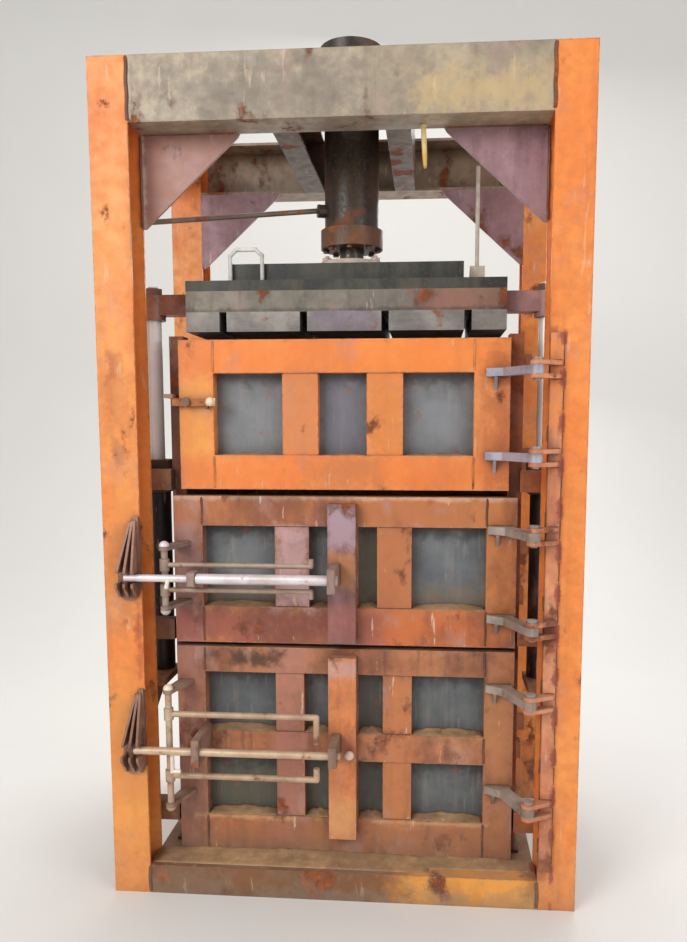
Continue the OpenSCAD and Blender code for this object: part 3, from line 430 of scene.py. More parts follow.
# The finish of each CAD node: its name, then the colours (base, light and dark on paint, base and light on the rest).
finish = {
    "column_front_left": painted(
        "orange left column", base="EC8840", light="F09C50", dark="C26C34", rust=0.25, low=(0.05, 0.3), dust=0.35,
        shift=1.0, grime_and_shade=0.7, zones=LEFT_SCARS,
        late=[((-0.72, 0.0, 0.35), (0.08, 0.2, 0.35), 0.12, "EFA24E", 0.45)]),
    "column_front_right": painted(
        "orange right column", base="F0883E", light="F59A4E", dark="C0622C", rust=0.2, low=(0.0, 0.25), dust=0.35,
        shift=21.0, grime_and_shade=0.7, stitch=(0.701, 0.19, 0.135, 0.009),
        # painted shade: the column's inner side and inner edge darkened down its height
        zones=[((0.66, 0.0, 1.0), (0.012, 0.08, 0.9), 0.02, "9A5230", 0.7)]),
    "column_rear_left": painted("orange rear left", **ORANGE, rust=0.5, shift=33.0),
    "column_rear_right": painted("orange rear right", **ORANGE, rust=0.45, shift=41.0),
    "top_beam_front": painted(
        "weathered top beam", "A0917E", "BAAA90", "64564A", rust=0.45, chip=0.8, shift=5.0, bare="A09888",
        zones=[((0.45, 0.0, 2.6), (0.2, 0.3, 0.05), 0.05, "C8AC7C", 0.7),
               ((-0.25, 0.0, 2.62), (0.3, 0.2, 0.06), 0.08, "7A7068", 0.6)]),
    "top_beam_rear": painted("rear top beam", "9A8672", "A88F74", "5E4A3C", rust=0.8, shift=9.0),
    "top_ties": painted("orange ties", **ORANGE, rust=0.7, shift=13.0),
    "cylinder_bridge": painted("primer bridge", "5E4A3E", "705646", "3A2A22", rust=0.8, shift=17.0),
    "gussets": painted(
        "mauve primer", "9A747A", "B0909A", "6E4A48", rust=0.3, streak=0.55, shift=23.0, chip=0.8,
        zones=[((-0.5, 0.1, 2.4), (0.2, 0.1, 0.2), 0.1, "B0806E", 0.85),
               ((0.57, 0.1, 2.3), (0.06, 0.1, 0.12), 0.06, "B0878E", 0.5),
               ((-0.647, 0.1, 2.36), (0.005, 0.03, 0.2), 0.008, "CFC4B4", 0.85)]),
    "base_beam_front": painted(
        "base orange", "B87A3E", "D08C46", "6A4428", rust=0.75, dust=0.6, low=(0.0, 0.1), shift=29.0,
        zones=[((-0.25, 0.0, 0.05), (0.42, 0.2, 0.2), 0.06, "7A5238", 0.85),
               ((0.42, 0.0, 0.05), (0.20, 0.2, 0.2), 0.05, "F0A248", 0.9)]),
    "base_beam_rear": painted("rear base", "C07A3C", "D08C46", "6A4228", rust=0.8, dust=0.8, shift=31.0),
    "base_rails": painted("base rails", "A86A3A", "B87A44", "5C3A26", rust=0.9, dust=0.8, shift=37.0),
    "floor_plate": greasy("floor plate", "4A3F36", "6A5A4A", warm=0.7, shift=3.0, wet=0.6),
    "floor_bars": steel("floor bars", "6A6058", "857A6E", rust=0.7, metal=0.5, shift=6.0, brush=(1.0, 0.06, 1.0)),
    "wall_left": painted("chamber wall left", "7A4A34", "94603E", "4A2C20", rust=0.8, shift=43.0, streak=0.7),
    "wall_right": painted("chamber wall right", "A4582A", "C06E34", "5A3020", rust=0.7, shift=47.0, streak=0.7),
    "wall_rear": painted("chamber wall rear", "9A5A3A", "AE6C44", "5A3324", rust=0.8, shift=51.0),
    "hinge_strip": painted(
        "pink orange hinge strip", "CE8058", "DE966C", "84483A", rust=0.6, chip=1.0, shift=53.0,
        stitch=(0.696, 0.19, 0.135, 0.012), streak=0.6,
        zones=[((0.675, 0.0, 1.72), (0.05, 0.05, 0.14), 0.05, "E8883E", 0.8)]),
    "hinge_pins": steel("pin steel", "8F8880", "B5AEA4", rust=0.45, shift=9.0),
    "latch_brackets": painted("bracket paint", "A07058", "BE9078", "54362A", rust=0.7, chip=1.0, shift=57.0),
    "main_barrel": greasy("oily barrel", "2E2620", "463627", warm=0.45, shift=12.0),
    "main_gland": greasy("rusty gland", "4A3222", "6E4728", rust="A05A2E", warm=0.8, shift=15.0, wet=0.45),
    "cylinder_bolts": steel("flange bolt steel", "6E665E", "8C847A", rust=0.7, shift=18.0),
    "side_barrels": painted(
        "black barrel paint", "17161A", "24242A", "0C0B0C", rust=0.1, chip=0.6, dust=0.35, grime_and_shade=0.4, streak=0.2,
        shift=61.0),
    "side_glands": painted("gland block paint", "5A3E36", "704E44", "34241E", rust=0.6, shift=63.0),
    "side_feet": painted("cylinder feet", "9A5E3A", "AA6E46", "5A3524", rust=0.8, shift=67.0),
    "feed_pipe": steel("pipe steel", "6A6058", "8A7C70", rust=0.6, metal=0.5, shift=21.0),
    "main_rod": greasy("greased rod", "3A2E24", "5A4836", rust="6A4A30", warm=0.4, shift=24.0, wet=0.25),
    "main_piston": steel("piston steel", "8A8680", "A8A49C", rust=0.1, shift=27.0),
    "rod_flange": greasy("flange grease", "3E362C", "6E5E48", rust="8A6238", warm=0.6, shift=30.0, wet=0.4),
    "flange_bolts": steel("rod flange bolts", "6E6252", "9A8A70", rust=0.6, shift=33.0),
    "platen_plate": greasy("platen top", "262722", "44443A", rust="66543A", warm=0.5, shift=36.0, wet=0.5),
    "platen_frame": painted(
        "platen grey", "777066", "8C8474", "453E36", rust=0.35, chip=0.9, streak=0.6, shift=71.0, bare="9A948A",
        zones=[((0.40, 0.3, 2.0), (0.16, 0.3, 0.1), 0.06, "94604C", 0.75)],
        late=[((0.0, 0.18, 1.985), (0.6, 0.03, 0.004), 0.008, "2A2622", 0.6)]),
    "pressing_bars": steel(
        "pressing bars", "6E6A66", "9A948E", rust=0.35, metal=0.45, shift=39.0, brush=(0.06, 1.0, 1.0),
        late=[((0.0, 0.18, 1.95), (0.11, 0.02, 0.05), 0.03, "7C6C80", 0.6)]),
    "ear_left": painted("ear primer", "8E5A48", "A66E58", "4E3028", rust=0.6, chip=1.0, shift=73.0),
    "ear_right": painted("ear primer right", "9A7474", "AE8A88", "56403E", rust=0.6, chip=1.0, shift=77.0),
    # painted reflection: near-white matte colour stands in for the sky seen in a bright rod, made whiter than the right
    # rod
    "side_rod_left": rod_finish("side rod with painted sky reflection", "FAF9F8", "D8CEC0", metal=0.0, shine=0.35, shift=1.0),
    "side_rod_right": rod_finish("pale side rod right", "E4E2DE", "B09C80", shift=5.0),
    "rod_nuts": steel("nut steel", "7A6258", "98806E", rust=0.7, shift=42.0),
    "lifting_loop": painted("white loop", "DAD8D2", "E8E6E0", "8F867A", rust=0.4, chip=0.8, grime_and_shade=0.6, shift=79.0),
    "level_rod": painted("pale level rod", "CFC4B4", "DDD2C4", "867A6C", rust=0.4, chip=0.8, grime_and_shade=0.5, shift=83.0),
    "top_frame": painted(
        "feed door orange", "E88442", "F29A54", "B8683E", rust=0.2, streak=0.5, shift=87.0, spread=4.0,
        zones=[((0.0, 0.12, 1.83), (0.55, 0.2, 0.06), 0.02, "F28432", 0.6),
               ((-0.5, 0.12, 1.62), (0.06, 0.2, 0.13), 0.03, "F0A04A", 0.75),
               ((0.0, 0.12, 1.44), (0.6, 0.2, 0.05), 0.03, "EE7C30", 0.6),
               ((-0.14, 0.12, 1.64), (0.06, 0.03, 0.13), 0.03, "CE8450", 0.7),
               ((0.14, 0.12, 1.64), (0.06, 0.03, 0.13), 0.03, "D4803E", 0.7),
               ((0.0, 0.12, 1.44), (0.12, 0.03, 0.04), 0.05, "C07848", 0.6),
               ((0.52, 0.12, 1.62), (0.04, 0.2, 0.22), 0.04, "B8683A", 0.7)]),
    "top_sheet": sheet_metal(
        "feed door sheet", "747678", "8A8C90", shift=2.0,
        # painted shadow: a dark band at the top of each window, under the upper rail
        zones=[((0.0, 0.17, 1.76), (0.6, 0.1, 0.025), 0.025, "3C3A38", 0.55),
               ((0.0, 0.17, 1.6), (0.085, 0.1, 0.15), 0.03, "6E6878", 0.5)]),
    "top_arms": steel("strap steel", "827E86", "B6B2C0", rust=0.3, metal=0.4, shift=45.0, brush=(0.06, 1.0, 1.0)),
    "top_stud": steel("stud steel", "6A5648", "846C5C", rust=0.8, shift=48.0),
    "top_lever": steel(
        "rusty lever", "A0602E", "B8743C", rust=0.7, metal=0.2, shift=51.0,
        late=[((-0.432, 0.075, 1.677), (0.02, 0.026, 0.02), 0.004, "F0DCBE", 0.95)]),
    "mid_frame": painted(
        "middle door primer", "B26A42", "CA8250", "5E342A", rust=0.4, streak=0.7, shift=91.0, bare="CBAA9C", spread=3.4,
        wear=1.2,
        late=[((-0.17, 0.12, 1.13), (0.045, 0.03, 0.13), 0.03, "D8B0B0", 0.5)],
        zones=[((0.32, 0.12, 1.12), (0.28, 0.2, 0.3), 0.1, "C87C44", 0.6),
               ((-0.535, 0.12, 1.11), (0.05, 0.2, 0.27), 0.03, "A8827E", 0.85),
               ((-0.25, 0.12, 0.91), (0.4, 0.2, 0.06), 0.04, "9A5244", 0.85),
               ((0.35, 0.12, 0.91), (0.2, 0.2, 0.06), 0.05, "CC6A34", 0.75),
               ((-0.17, 0.12, 1.12), (0.06, 0.03, 0.14), 0.03, "CCA4A0", 0.85),
               ((-0.10, 0.12, 1.31), (0.5, 0.03, 0.05), 0.03, "B87044", 0.8),
               ((0.0, 0.12, 1.357), (0.6, 0.03, 0.006), 0.008, "D8A888", 0.8),
               ((0.52, 0.12, 1.10), (0.05, 0.2, 0.2), 0.04, "CC7C40", 0.75),
               ((0.18, 0.12, 1.12), (0.06, 0.03, 0.14), 0.03, "B46C46", 0.6)]),
    "mid_sheet": sheet_metal(
        "middle door sheet", "62666A", "7C8082", shift=12.0,
        zones=[((0.0, 0.17, 1.0), (0.6, 0.1, 0.04), 0.04, "8A7862", 0.6),
               # painted shadow: a dark band at the top of each window, under the upper rail
               ((0.0, 0.17, 1.26), (0.6, 0.1, 0.035), 0.03, "34322F", 0.6),
               ((0.08, 0.17, 1.1), (0.06, 0.1, 0.12), 0.03, "6E6A50", 0.7)]),
    "mid_arms": steel("middle strap steel", "827468", "B6AAA0", rust=0.35, metal=0.4, shift=54.0),
    "mid_lock_bar": painted(
        "middle lock bar", "8C6260", "A07672", "583E3A", rust=0.45, streak=0.8, shift=95.0,
        zones=[((0.0, 0.08, 1.26), (0.06, 0.05, 0.07), 0.03, "B094A0", 0.8),
               ((0.0, 0.08, 1.12), (0.04, 0.05, 0.06), 0.03, "C0804A", 0.75),
               ((0.0, 0.08, 0.93), (0.06, 0.05, 0.07), 0.04, "A0584C", 0.6)]),
    "mid_mounts": painted("middle mounts", "9A7E74", "B4968A", "54403A", rust=0.6, chip=1.0, shift=99.0),
    "mid_bolt": steel(
        "bright bolt", "C6B8B4", "E8E0E4", rust=0.25, metal=0.35, shine=0.35, shift=57.0, brush=(0.05, 1.0, 1.0),
        late=[((-0.555, -0.045, 1.085), (0.02, 0.014, 0.016), 0.004, "F2E8D8", 0.95)]),
    "mid_bail": steel(
        "worn bail", "96806E", "B8A08E", rust=0.5, metal=0.3, shift=60.0, brush=(0.05, 1.0, 1.0),
        late=[((-0.578, 0.008, 1.215), (0.03, 0.03, 0.02), 0.008, "E8E0E4", 0.9),
              ((-0.578, 0.008, 0.975), (0.03, 0.03, 0.015), 0.008, "CFC6C4", 0.8)]),
    "low_frame": painted(
        "lower door primer", "B06E4A", "C88658", "5E362C", rust=0.4, streak=0.8, shift=103.0, low=(0.05, 0.3),
        bare="C8A28C", spread=3.4, wear=1.2,
        zones=[((-0.535, 0.12, 0.45), (0.05, 0.2, 0.4), 0.03, "9E7064", 0.7),
               ((-0.19, 0.12, 0.45), (0.06, 0.03, 0.4), 0.03, "B0786A", 0.7),
               ((0.19, 0.12, 0.45), (0.06, 0.03, 0.3), 0.03, "C87C4A", 0.7),
               ((0.50, 0.12, 0.45), (0.08, 0.2, 0.3), 0.04, "BE7E50", 0.6),
               ((0.0, 0.12, 0.165), (0.6, 0.2, 0.05), 0.03, "A4643E", 0.7),
               ((-0.30, 0.12, 0.80), (0.09, 0.05, 0.022), 0.02, "3E2A24", 0.85),
               ((-0.46, 0.12, 0.81), (0.03, 0.05, 0.012), 0.012, "3E2A24", 0.7),
               ((0.30, 0.12, 0.225), (0.2, 0.05, 0.006), 0.008, "CFA070", 0.7),
               ((-0.35, 0.12, 0.225), (0.18, 0.05, 0.006), 0.008, "CFA070", 0.7)]),
    "low_sheet": sheet_metal(
        "lower door sheet", "5E6265", "767A7A", shift=22.0,
        zones=[((-0.3, 0.17, 0.30), (0.25, 0.1, 0.1), 0.06, "67644E", 0.7),
               # painted shadow: dark bands at the top of each row of windows, under the rails
               ((0.0, 0.17, 0.43), (0.6, 0.1, 0.03), 0.03, "34322F", 0.55),
               ((0.0, 0.17, 0.74), (0.6, 0.1, 0.03), 0.03, "34322F", 0.55),
               ((0.08, 0.17, 0.5), (0.06, 0.1, 0.3), 0.03, "5E5A46", 0.6)]),
    "low_arms": steel("lower strap steel", "827264", "B4A698", rust=0.4, metal=0.4, shift=63.0),
    "low_lock_bar": painted(
        "lower lock bar", "D8804A", "EE9A62", "8A503A", rust=0.35, streak=0.8, shift=107.0, bare="D8B49A",
        zones=[((0.0, 0.08, 0.78), (0.06, 0.05, 0.03), 0.02, "C09A90", 0.7),
               ((0.0, 0.08, 0.50), (0.06, 0.05, 0.05), 0.03, "B06A54", 0.6),
               ((0.0, 0.08, 0.25), (0.06, 0.05, 0.07), 0.04, "DDA064", 0.7)]),
    "low_mounts": painted("lower mounts", "94705C", "AE8A74", "54403A", rust=0.6, chip=1.0, shift=111.0),
    "low_bolt": steel(
        "lower bolt", "B89A7E", "DCC0A2", rust=0.45, metal=0.35, shine=0.4, shift=66.0, brush=(0.05, 1.0, 1.0),
        late=[((-0.545, -0.034, 0.475), (0.03, 0.014, 0.034), 0.006, "EFE2D2", 0.95)]),
    "low_bail": steel(
        "lower bail", "A88A72", "CCAE92", rust=0.5, metal=0.3, shift=69.0, brush=(0.05, 1.0, 1.0),
        late=[((-0.578, 0.008, 0.735), (0.03, 0.03, 0.02), 0.008, "F0E6CC", 0.9),
              ((-0.578, 0.008, 0.60), (0.02, 0.03, 0.07), 0.03, "D8C8AA", 0.5)]),
}
for name, node in nodes.items():
    node.data.materials.clear()
    node.data.materials.append(finish[name])

# ---- added pieces ------------------------------------------------------------------------------------------------

def link(ob):
    """Put an object into the scene."""
    bpy.context.scene.collection.objects.link(ob)
    return ob


def new_object(name, verts, faces, material, smooth=True):
    """Object at the origin from an array of points and a list of faces."""
    me = bpy.data.meshes.new(name)
    me.from_pydata(verts.tolist(), [], faces)
    me.update()
    me.polygons.foreach_set("use_smooth", np.full(len(me.polygons), smooth))
    me.materials.append(material)
    return link(bpy.data.objects.new(name, me))


def grid_faces(rows, cols, close=False):
    """Quads over a grid of points; close joins the last column to the first."""
    i, j = np.meshgrid(np.arange(rows - 1), np.arange(cols if close else cols - 1), indexing="ij")
    k = (j + 1) % cols
    return np.stack([i * cols + j, i * cols + k, (i + 1) * cols + k, (i + 1) * cols + j], -1).reshape(-1, 4)


RIPPLE = 0.009  # length of one wave on a weld bead


class Pile:
    """Gathers many closed shapes as whole arrays and makes one mesh of them. Places are (x, y behind FRONT, z)."""

    def __init__(self):
        self.v, self.f, self.n = [], [], 0

    def rings(self, grid):
        """Closed tube over a grid (rings, points, 3), each end shut by a point at the middle of its last ring."""
        n, m, _ = grid.shape
        v = np.concatenate([grid.reshape(-1, 3), grid[0].mean(0)[None], grid[-1].mean(0)[None]])
        quads = grid_faces(n, m, close=True)
        a = np.arange(m)
        b = (a + 1) % m
        low = np.stack([b, a, np.full(m, n * m)], -1)
        high = np.stack([(n - 1) * m + a, (n - 1) * m + b, np.full(m, n * m + 1)], -1)
        tri = np.concatenate([quads[:, [0, 1, 2]], quads[:, [0, 2, 3]], low, high])
        c = v - v.mean(0)
        if np.einsum("ij,ij->i", c[tri[:, 0]], np.cross(c[tri[:, 1]], c[tri[:, 2]])).sum() < 0:
            quads, low, high = quads[:, ::-1], low[:, ::-1], high[:, ::-1]
        self.v.append(v)
        self.f += (quads + self.n).tolist() + (low + self.n).tolist() + (high + self.n).tolist()
        self.n += len(v)

    def bead(self, p, q, out, r=0.0045):
        """Ripple weld from p to q: a half-sunk tube of radius r * (1 + 0.2 |sin(pi s / RIPPLE)|), pulled to points at
        its ends, whose middle wanders by a fifth of r; out is the side that shows."""
        p, q, out = (np.array(a, float) for a in (p, q, out))
        p, q = p + (0, FRONT, 0), q + (0, FRONT, 0)
        length = np.linalg.norm(q - p)
        d = (q - p) / length
        out = out / np.linalg.norm(out)
        side = np.cross(d, out)
        n = max(5, int(length / RIPPLE * 2) + 1)
        s = np.linspace(0, length, n)
        taper = np.clip(np.minimum(s, length - s) / (1.2 * r) + 0.3, 0, 1) ** 0.5
        rad = r * (1 + 0.2 * np.abs(np.sin(np.pi * s / RIPPLE))) * taper
        wander = 0.2 * r * np.sin(s * 71.0 + p[2] * 40 + p[0] * 17)
        a = np.linspace(0, 2 * np.pi, 6, endpoint=False)
        mid = p + s[:, None] * d + wander[:, None] * side
        ring = np.cos(a)[:, None] * side + 0.62 * np.sin(a)[:, None] * out
        lean = 0.3 * r * np.sin(a)[:, None] * d
        self.rings(mid[:, None] + rad[:, None, None] * ring[None] + lean[None])

    def stitches(self, p, q, out, every, long, r=0.0045):
        """Beads of one length at even steps from p towards q."""
        p, q = np.array(p, float), np.array(q, float)
        full = np.linalg.norm(q - p)
        d = (q - p) / full
        for s in np.arange(0, full - long, every):
            self.bead(p + d * s, p + d * (s + long), out, r)

    def lathe(self, at, axis, profile, seg=20):
        """Turned shape: profile is (distance along axis, radius) from one end to the other."""
        at, axis = np.array(at, float) + (0, FRONT, 0), np.array(axis, float)
        axis = axis / np.linalg.norm(axis)
        u = np.cross(axis, (0.3, 0.9, 0.4))
        u = u / np.linalg.norm(u)
        w = np.cross(axis, u)
        a = np.linspace(0, 2 * np.pi, seg, endpoint=False)
        pr = np.array(profile, float)
        ring = np.cos(a)[:, None] * u + np.sin(a)[:, None] * w
        self.rings(at + pr[:, 0, None, None] * axis + pr[:, 1, None, None] * ring[None])

    def heap(self, x0, x1, y0, y1, z, high, seed):
        """Dust on a ledge: height = high (1 - (2u - 1)^2)^0.8 (1 - v)^1.3 plus waves, v = 0 at the back; closed
        below."""
        u = np.linspace(0, 1, 25)
        v = np.linspace(0, 1, 9)
        uu, vv = np.meshgrid(u, v, indexing="ij")
        wave = np.sin(uu * 17 + seed) * np.sin(vv * 9 + 2 * seed) + 0.6 * np.sin(uu * 41 + 3 * seed + vv * 7)
        h = high * ((1 - (2 * uu - 1) ** 2) ** 0.8 * (1 - vv) ** 1.3 * (1 + 0.16 * wave) + 0.05 * (1 + 0.5 * wave))
        h[0], h[-1], h[:, -1] = 0.0002, 0.0002, 0.0002
        x = x0 + (x1 - x0) * uu
        y = FRONT + y1 + (y0 - y1) * vv
        top = np.stack([x, y, z + h], -1)
        low = np.stack([x, y, np.full_like(x, z - 0.001)], -1)
        self.rings(np.concatenate([top, low[:, ::-1]], 1))

    def make(self, name, body, material, smooth=True):
        """One object of all the shapes, riding on body."""
        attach(new_object(name, np.concatenate(self.v), self.f, material, smooth), body)


# ---- weld beads --------------------------------------------------------------------------------------------------

weld_mat = steel("weld bead", "5E4034", "7C5844", rust=0.8, metal=0.35, shine=0.5, grime_and_shade=0.3, shift=121.0, rub=0.0)
paint_weld = painted("painted weld", "D0743A", "E08A48", "7A4428", rust=0.75, chip=0.0, grime_and_shade=0.4, shift=123.0)
dust_mat = painted("ledge dust", "A88460", "C49E70", "6A5038", rust=0.1, chip=0.0, dust=0.2, grime_and_shade=0.4, streak=0.1,
                   shift=125.0, spread=14.0)
pale_mat = painted("cream knob", "F0D2C4", "F8E2D6", "B08C74", rust=0.15, chip=0.0, grime_and_shade=0.4, shift=127.0)

HINGE_Z = (0.360, 0.7158, 0.9559, 1.2550, 1.4998, 1.7702)  # heights of the hinge arms, from the lowest up
LOW_BOLT_Z, MID_BOLT_Z = 0.5203, 1.1050  # heights of the bolts
TOP_BEAM_Z, BASE_BEAM_Z = (2.540, 2.731), (0.004, 0.096)  # lower and upper end of the seams at the beams' ends
GUSSET_Z = (2.245, 2.53)  # and of those on the gussets
GUSSET_FACES = ((0.113, -1), (0.817, 1))  # outer faces of the gussets behind FRONT, and the way each looks
BRACKET_X = (-0.7305, -0.6575)  # left and right edge of the latch brackets
LOCK_X, LOCK_FACE = 0.047, 0.08  # half width of the lock bars, and their fronts behind FRONT


def strip_welds(p):
    """Seams of the hinge strip on both its edges, and two beads under and over each lug."""
    p.stitches((0.6975, -0.0005, 0.16), (0.6975, -0.0005, 1.88), (0.7, -0.7, 0), 0.135, 0.062, 0.0055)
    p.stitches((0.6565, -0.0005, 0.20), (0.6565, -0.0005, 1.86), (-0.4, -0.9, 0), 0.27, 0.05, 0.0045)
    for z in HINGE_Z:
        for dz, up in ((-0.0272, -1), (0.0278, 1)):
            p.bead((0.661, -0.012, z + dz), (0.693, -0.012, z + dz), (0, -0.7, 0.7 * up), 0.0042)


def frame_welds(p, sg):
    """Seams on one side of the frame: sg is -1 on the left and 1 on the right."""
    inner, outer = sg * COLUMN_IN, sg * (COLUMN_OUT - 0.003)
    for z0, z1 in (TOP_BEAM_Z, BASE_BEAM_Z):
        p.bead((inner, 0, z0), (inner, 0, z1), (0, -1, 0), 0.0055)
        p.bead((inner, REAR - 0.003, z0), (inner, REAR - 0.003, z1), (0, 1, 0), 0.004)
    for y, way in GUSSET_FACES:
        p.bead((inner, y, GUSSET_Z[0]), (inner, y, GUSSET_Z[1]), (-sg, way, 0), 0.005)
    p.bead((sg * 0.335, GUSSET_FACES[0][0], 2.535), (sg * 0.645, GUSSET_FACES[0][0], 2.535), (0, -1, -1), 0.005)
    for y, way in ((0.125, 0.4), (0.805, -0.4)):  # side ties
        p.bead((outer, y, 2.59), (outer, y, 2.731), (sg, way, 0), 0.004)
    for y, way in ((0.29, -1), (0.64, 1)):  # seat of the press cylinder
        p.bead((sg * 0.144, y, 2.735), (sg * 0.218, y, 2.735), (0, way, 1), 0.005)
    for x in (0.685, 0.716):  # gland blocks of the side cylinders
        p.bead((sg * x, 0.1265, 1.385), (sg * x, 0.1265, 1.462), (-sg, 1, 0), 0.0045)


def bracket_welds(p, z, below, above):
    """Seams round a latch bracket that reaches below and above the height z of its bolt."""
    left, right = BRACKET_X
    p.bead((left, 0, z - below + 0.026), (left, 0, z + 0.018), (-1, -1, 0), 0.0048)
    p.bead((left, 0, z + 0.024), (-0.6755, 0, z + above - 0.004), (-1, -1, 0.4), 0.0048)
    p.bead((right, 0, z - below + 0.026), (right, 0, z + above - 0.004), (1, -1, 0), 0.0045)


def door_welds(half, stile, rails, post, arms, arm_x, lock=None):
    """Butt welds between rails and stiles, fillets on the set-back posts and at the arms' roots, stitches on the lock
    bar. half is half the door's width, post the inner and outer edge of a post, arm_x the ends of an arm's root."""
    p = Pile()
    for sg in (-1, 1):
        seam, x0, x1 = sg * (half - stile), sg * (post[0] + 0.004), sg * (post[1] - 0.004)
        for z0, z1 in rails:
            p.bead((seam, DOOR_FACE, z0 + 0.004), (seam, DOOR_FACE, z1 - 0.004), (0, -1, 0), 0.0036)
            for z, up in ((z0, -1), (z1, 1)):
                if rails[0][0] + 0.01 < z < rails[-1][1] - 0.01:
                    p.bead((x0, POST_FACE, z), (x1, POST_FACE, z), (0, -1, up), 0.0032)
        if lock:
            x = sg * LOCK_X
            p.stitches((x, DOOR_FACE, lock[0] + 0.01), (x, DOOR_FACE, lock[1]), (sg, -1, 0), 0.115, 0.055, 0.0046)
    for z in arms:
        for dz, up in ((-0.013, -1), (0.013, 1)):
            p.bead((arm_x[0] + 0.004, DOOR_FACE, z + dz), (arm_x[1] - 0.004, DOOR_FACE, z + dz), (0, -1, up), 0.0046)
    return p


def latch_welds(p, z, guide, mount, lugs):
    """Fillets at a bolt's guide and mount, half as high as guide and mount say, and on the lugs that hold the bail."""
    for x, way in ((-0.488, -1), (-0.463, 1)):
        p.bead((x, DOOR_FACE, z - guide + 0.002), (x, DOOR_FACE, z + guide - 0.002), (way, -1, 0), 0.0046)
    for x, way in ((-0.032, -1), (-0.006, 1)):
        p.bead((x, LOCK_FACE, z - mount), (x, LOCK_FACE, z + mount), (way, -1, 0), 0.0046)
    for lug in lugs:
        for dz, up in ((0.0, -1), (0.014, 1)):
            p.bead((-0.573, DOOR_FACE, lug + dz), (-0.522, DOOR_FACE, lug + dz), (0, -1, up), 0.0042)


root = Pile()
strip_welds(root)
for side in (-1, 1):
    frame_welds(root, side)
bracket_welds(root, LOW_BOLT_Z, 0.093, 0.203)
bracket_welds(root, MID_BOLT_Z, 0.078, 0.200)
root.make("root_welds", "root", weld_mat)

LOW_RAILS = ((0.105, 0.2329), (0.4416, 0.5401), (0.7503, 0.84))  # lower and upper edge of each rail
MID_RAILS = ((0.855, 0.98175), (1.2606, 1.362))
TOP_RAILS = ((1.385, 1.4998), (1.7722, 1.882))
low_welds = door_welds(0.58, 0.0986, LOW_RAILS, (0.1363, 0.2349), HINGE_Z[:2], (0.484, 0.572), lock=(0.175, 0.818))
latch_welds(low_welds, LOW_BOLT_Z, 0.045, 0.034, (0.3103, 0.7063))
low_welds.make("low_door_welds", "door_low", weld_mat)
mid_welds = door_welds(0.58, 0.0992, MID_RAILS, (0.116, 0.232), HINGE_Z[2:4], (0.484, 0.572), lock=(0.867, 1.34))
latch_welds(mid_welds, MID_BOLT_Z, 0.023, 0.038, (0.991, 1.191))
mid_welds.make("mid_door_welds", "door_mid", weld_mat)
top_welds = door_welds(0.55, 0.11715, TOP_RAILS, (0.0809, 0.2008), HINGE_Z[4:], (0.470, 0.546))
top_welds.make("top_door_welds", "door_top", paint_weld)

# ---- dust on the ledges ------------------------------------------------------------------------------------------

LOW_BAYS = ((-0.481, -0.235), (-0.136, -0.052), (0.052, 0.136), (0.235, 0.481))  # left and right end of each opening
MID_BAYS = ((-0.480, -0.232), (-0.116, -0.052), (0.052, 0.116), (0.232, 0.480))
TOP_BAYS = ((-0.432, -0.201), (-0.080, 0.080), (0.201, 0.432))
for name, body, ledges, bays, high in (
        ("low_door_dust", "door_low", (LOW_RAILS[0][1], LOW_RAILS[1][1]), LOW_BAYS, 0.012),
        ("mid_door_dust", "door_mid", (MID_RAILS[0][1],), MID_BAYS, 0.012),
        ("top_door_dust", "door_top", (TOP_RAILS[0][1],), TOP_BAYS, 0.006)):
    dust = Pile()
    for z in ledges:
        for k, (x0, x1) in enumerate(bays):
            dust.heap(x0, x1, 0.122, SHEET_FACE, z, high, 1.7 * k + 9 * z)
    dust.make(name, body, dust_mat)

base_dirt = Pile()
base_dirt.heap(-0.652, 0.30, 0.02, 0.124, 0.1, 0.013, 2.2)
base_dirt.heap(0.18, 0.652, 0.05, 0.124, 0.1, 0.008, 5.1)
base_dirt.make("base_dirt", "root", dust_mat)

# ---- platen welds, rod collar, knob and hanging pin --------------------------------------------------------------

platen = Pile()
for side in (-1, 1):
    for z, up in ((1.9805, -1), (2.049, 1)):  # ears
        platen.bead((side * 0.5405, 0.244, z), (side * 0.5405, 0.296, z), (side, 0, up), 0.005)
for y, way in ((0.25, -1), (0.31, 1), (0.62, -1), (0.68, 1)):  # stiffeners on the plate
    platen.stitches((-0.39, y, 2.085), (0.40, y, 2.085), (0, way, 1), 0.16, 0.07, 0.0045)
platen.bead((-0.148, 0.315, 2.085), (0.148, 0.315, 2.085), (0, -1, 1), 0.0055)
platen.make("platen_welds", "ram", weld_mat)

COLLAR = [(0, 0.02), (0, 0.083), (0.001, 0.085), (0.018, 0.085), (0.0185, 0.114), (0.0205, 0.118), (0.036, 0.118),
          (0.038, 0.115), (0.0385, 0.062), (0.044, 0.058), (0.0445, 0.02)]  # (height, radius)
NUT = [(0, 0.019), (0.0125, 0.019), (0.0145, 0.0165), (0.015, 0.0095), (0.021, 0.0095), (0.0225, 0.0075)]
KNOB = [(0.0, 0.010), (0.0, 0.0065), (0.014, 0.0065), (0.015, 0.012), (0.019, 0.0155), (0.024, 0.0165),
        (0.029, 0.0145), (0.033, 0.009), (0.0345, 0.003)]
PIN = [(0, 0.013), (0.004, 0.013), (0.0045, 0.008), (0.05, 0.0085), (0.09, 0.008), (0.122, 0.006), (0.131, 0.0035)]
ROD_Y = 0.031 - FRONT  # the rod's axis, behind the column fronts

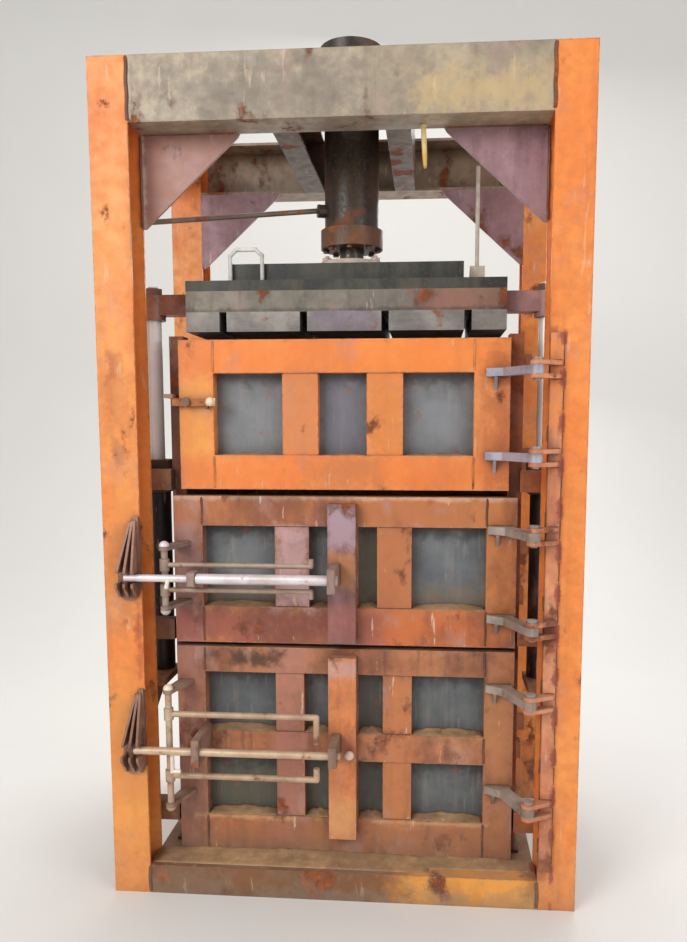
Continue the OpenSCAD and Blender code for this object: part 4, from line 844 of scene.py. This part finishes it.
collar = Pile()
collar.lathe((0, ROD_Y, 2.1472), (0, 0, 1), COLLAR, 48)
for x, y in ((-0.087, -0.036), (0.087, -0.036), (-0.087, 0.036), (0.087, 0.036)):
    collar.lathe((x, ROD_Y + y, 2.185), (0, 0, 1), NUT, 6)
collar_mat = painted("pale collar", "D2BCAC", "E6D8CA", "806454", rust=0.35, chip=0.7, grime_and_shade=0.5, streak=0.3,
                     shift=131.0)
collar.make("rod_collar", "ram", collar_mat, smooth=False)

knob = Pile()
knob.lathe((0.026, 0.0805, 0.487), (0, -1, 0), KNOB, 20)
knob.make("lock_bar_knob", "door_low", pale_mat)

pin = Pile()
pin.lathe((0.262, 0.095, 2.5355), (0.05, -0.02, -1), PIN, 14)
pin_mat = painted("pale yellow pin", "E2CE86", "F0E4B0", "A08A50", rust=0.2, chip=0.0, grime_and_shade=0.3, shift=129.0,
                  late=[((0.266, 0.093, 2.43), (0.03, 0.03, 0.03), 0.02, "CDA23E", 0.85)])
pin.make("hanging_pin", "root", pin_mat)

# ---- stage, light and camera -------------------------------------------------------------------------------------

def backdrop(material, near=-9.0, bend=2.0, r=2.2, high=9.0, half=12.0):
    """Floor that turns up into a wall: straight from near to bend, then a quarter circle of radius r, then straight
    up to high."""
    a = np.linspace(0, math.pi / 2, 24)
    y = np.concatenate([[near, bend], bend + r * np.sin(a), [bend + r]])
    z = np.concatenate([[0.0, 0.0], r - r * np.cos(a), [high]])
    x = np.linspace(-half, half, 3)
    yy, xx = np.meshgrid(y, x, indexing="ij")
    zz = np.repeat(z[:, None], 3, 1)
    verts = np.stack([xx, yy, zz], -1)
    return new_object("floor", verts.reshape(-1, 3), grid_faces(*xx.shape).tolist(), material)


fm, ft, fb = start("studio floor")
ft.put(ft.mix(ft.noise(ft.coords(), 0.7, 3.0), lin("DEDCD8"), lin("E6E4E0")), fb.inputs["Base Color"])
fb.inputs["Roughness"].default_value = 0.95
backdrop(fm)

world = bpy.data.worlds.new("studio")
bpy.context.scene.world = world
world.use_nodes = True
sky = world.node_tree.nodes["Background"]
sky.inputs["Color"].default_value = (0.98, 0.99, 1.0, 1.0)
sky.inputs["Strength"].default_value = 0.58


def lamp(name, place, aim, size, power, colour=(1, 1, 1)):
    """Rectangular lamp at place, turned towards aim; power is in watts."""
    d = bpy.data.lights.new(name, "AREA")
    d.shape = "RECTANGLE"
    d.size, d.size_y = size
    d.energy = power
    d.color = colour
    o = link(bpy.data.objects.new(name, d))
    o.location = place
    o.rotation_euler = (Vector(aim) - Vector(place)).to_track_quat("-Z", "Y").to_euler()


lamp("key", (-3.3, -5.0, 4.2), (0, 0, 1.3), (3.0, 3.0), 198.0, (1.0, 0.985, 0.96))
lamp("fill", (4.2, -3.4, 3.0), (0, 0, 1.3), (3.0, 3.0), 76.0, (0.97, 0.985, 1.0))
lamp("top", (0.5, 1.5, 5.6), (0, 0.2, 1.5), (4.0, 4.0), 110.0)
lamp("back", (0.5, 3.6, 3.2), (0, 0.4, 1.4), (3.0, 2.0), 60.0)

cam = bpy.data.cameras.new("photo view")
cam.sensor_fit = "HORIZONTAL"
cam.sensor_width = 36.0
FOCAL_PIXELS = 208.0 * 3.86  # focal length fitted to the small picture, scaled up to the whole frame
cam.lens = FOCAL_PIXELS / PHOTO_WIDTH * cam.sensor_width
cam.shift_x, cam.shift_y = -0.037, 0.057
cam.clip_end = 60.0
camera = link(bpy.data.objects.new("photo view", cam))
camera.location = (0.294, FRONT - 2.543, 1.608)
camera.rotation_euler = (math.radians(90 - 6.21), 0, math.radians(4.41))
bpy.context.scene.camera = camera
bpy.context.scene.view_settings.view_transform = "Standard"
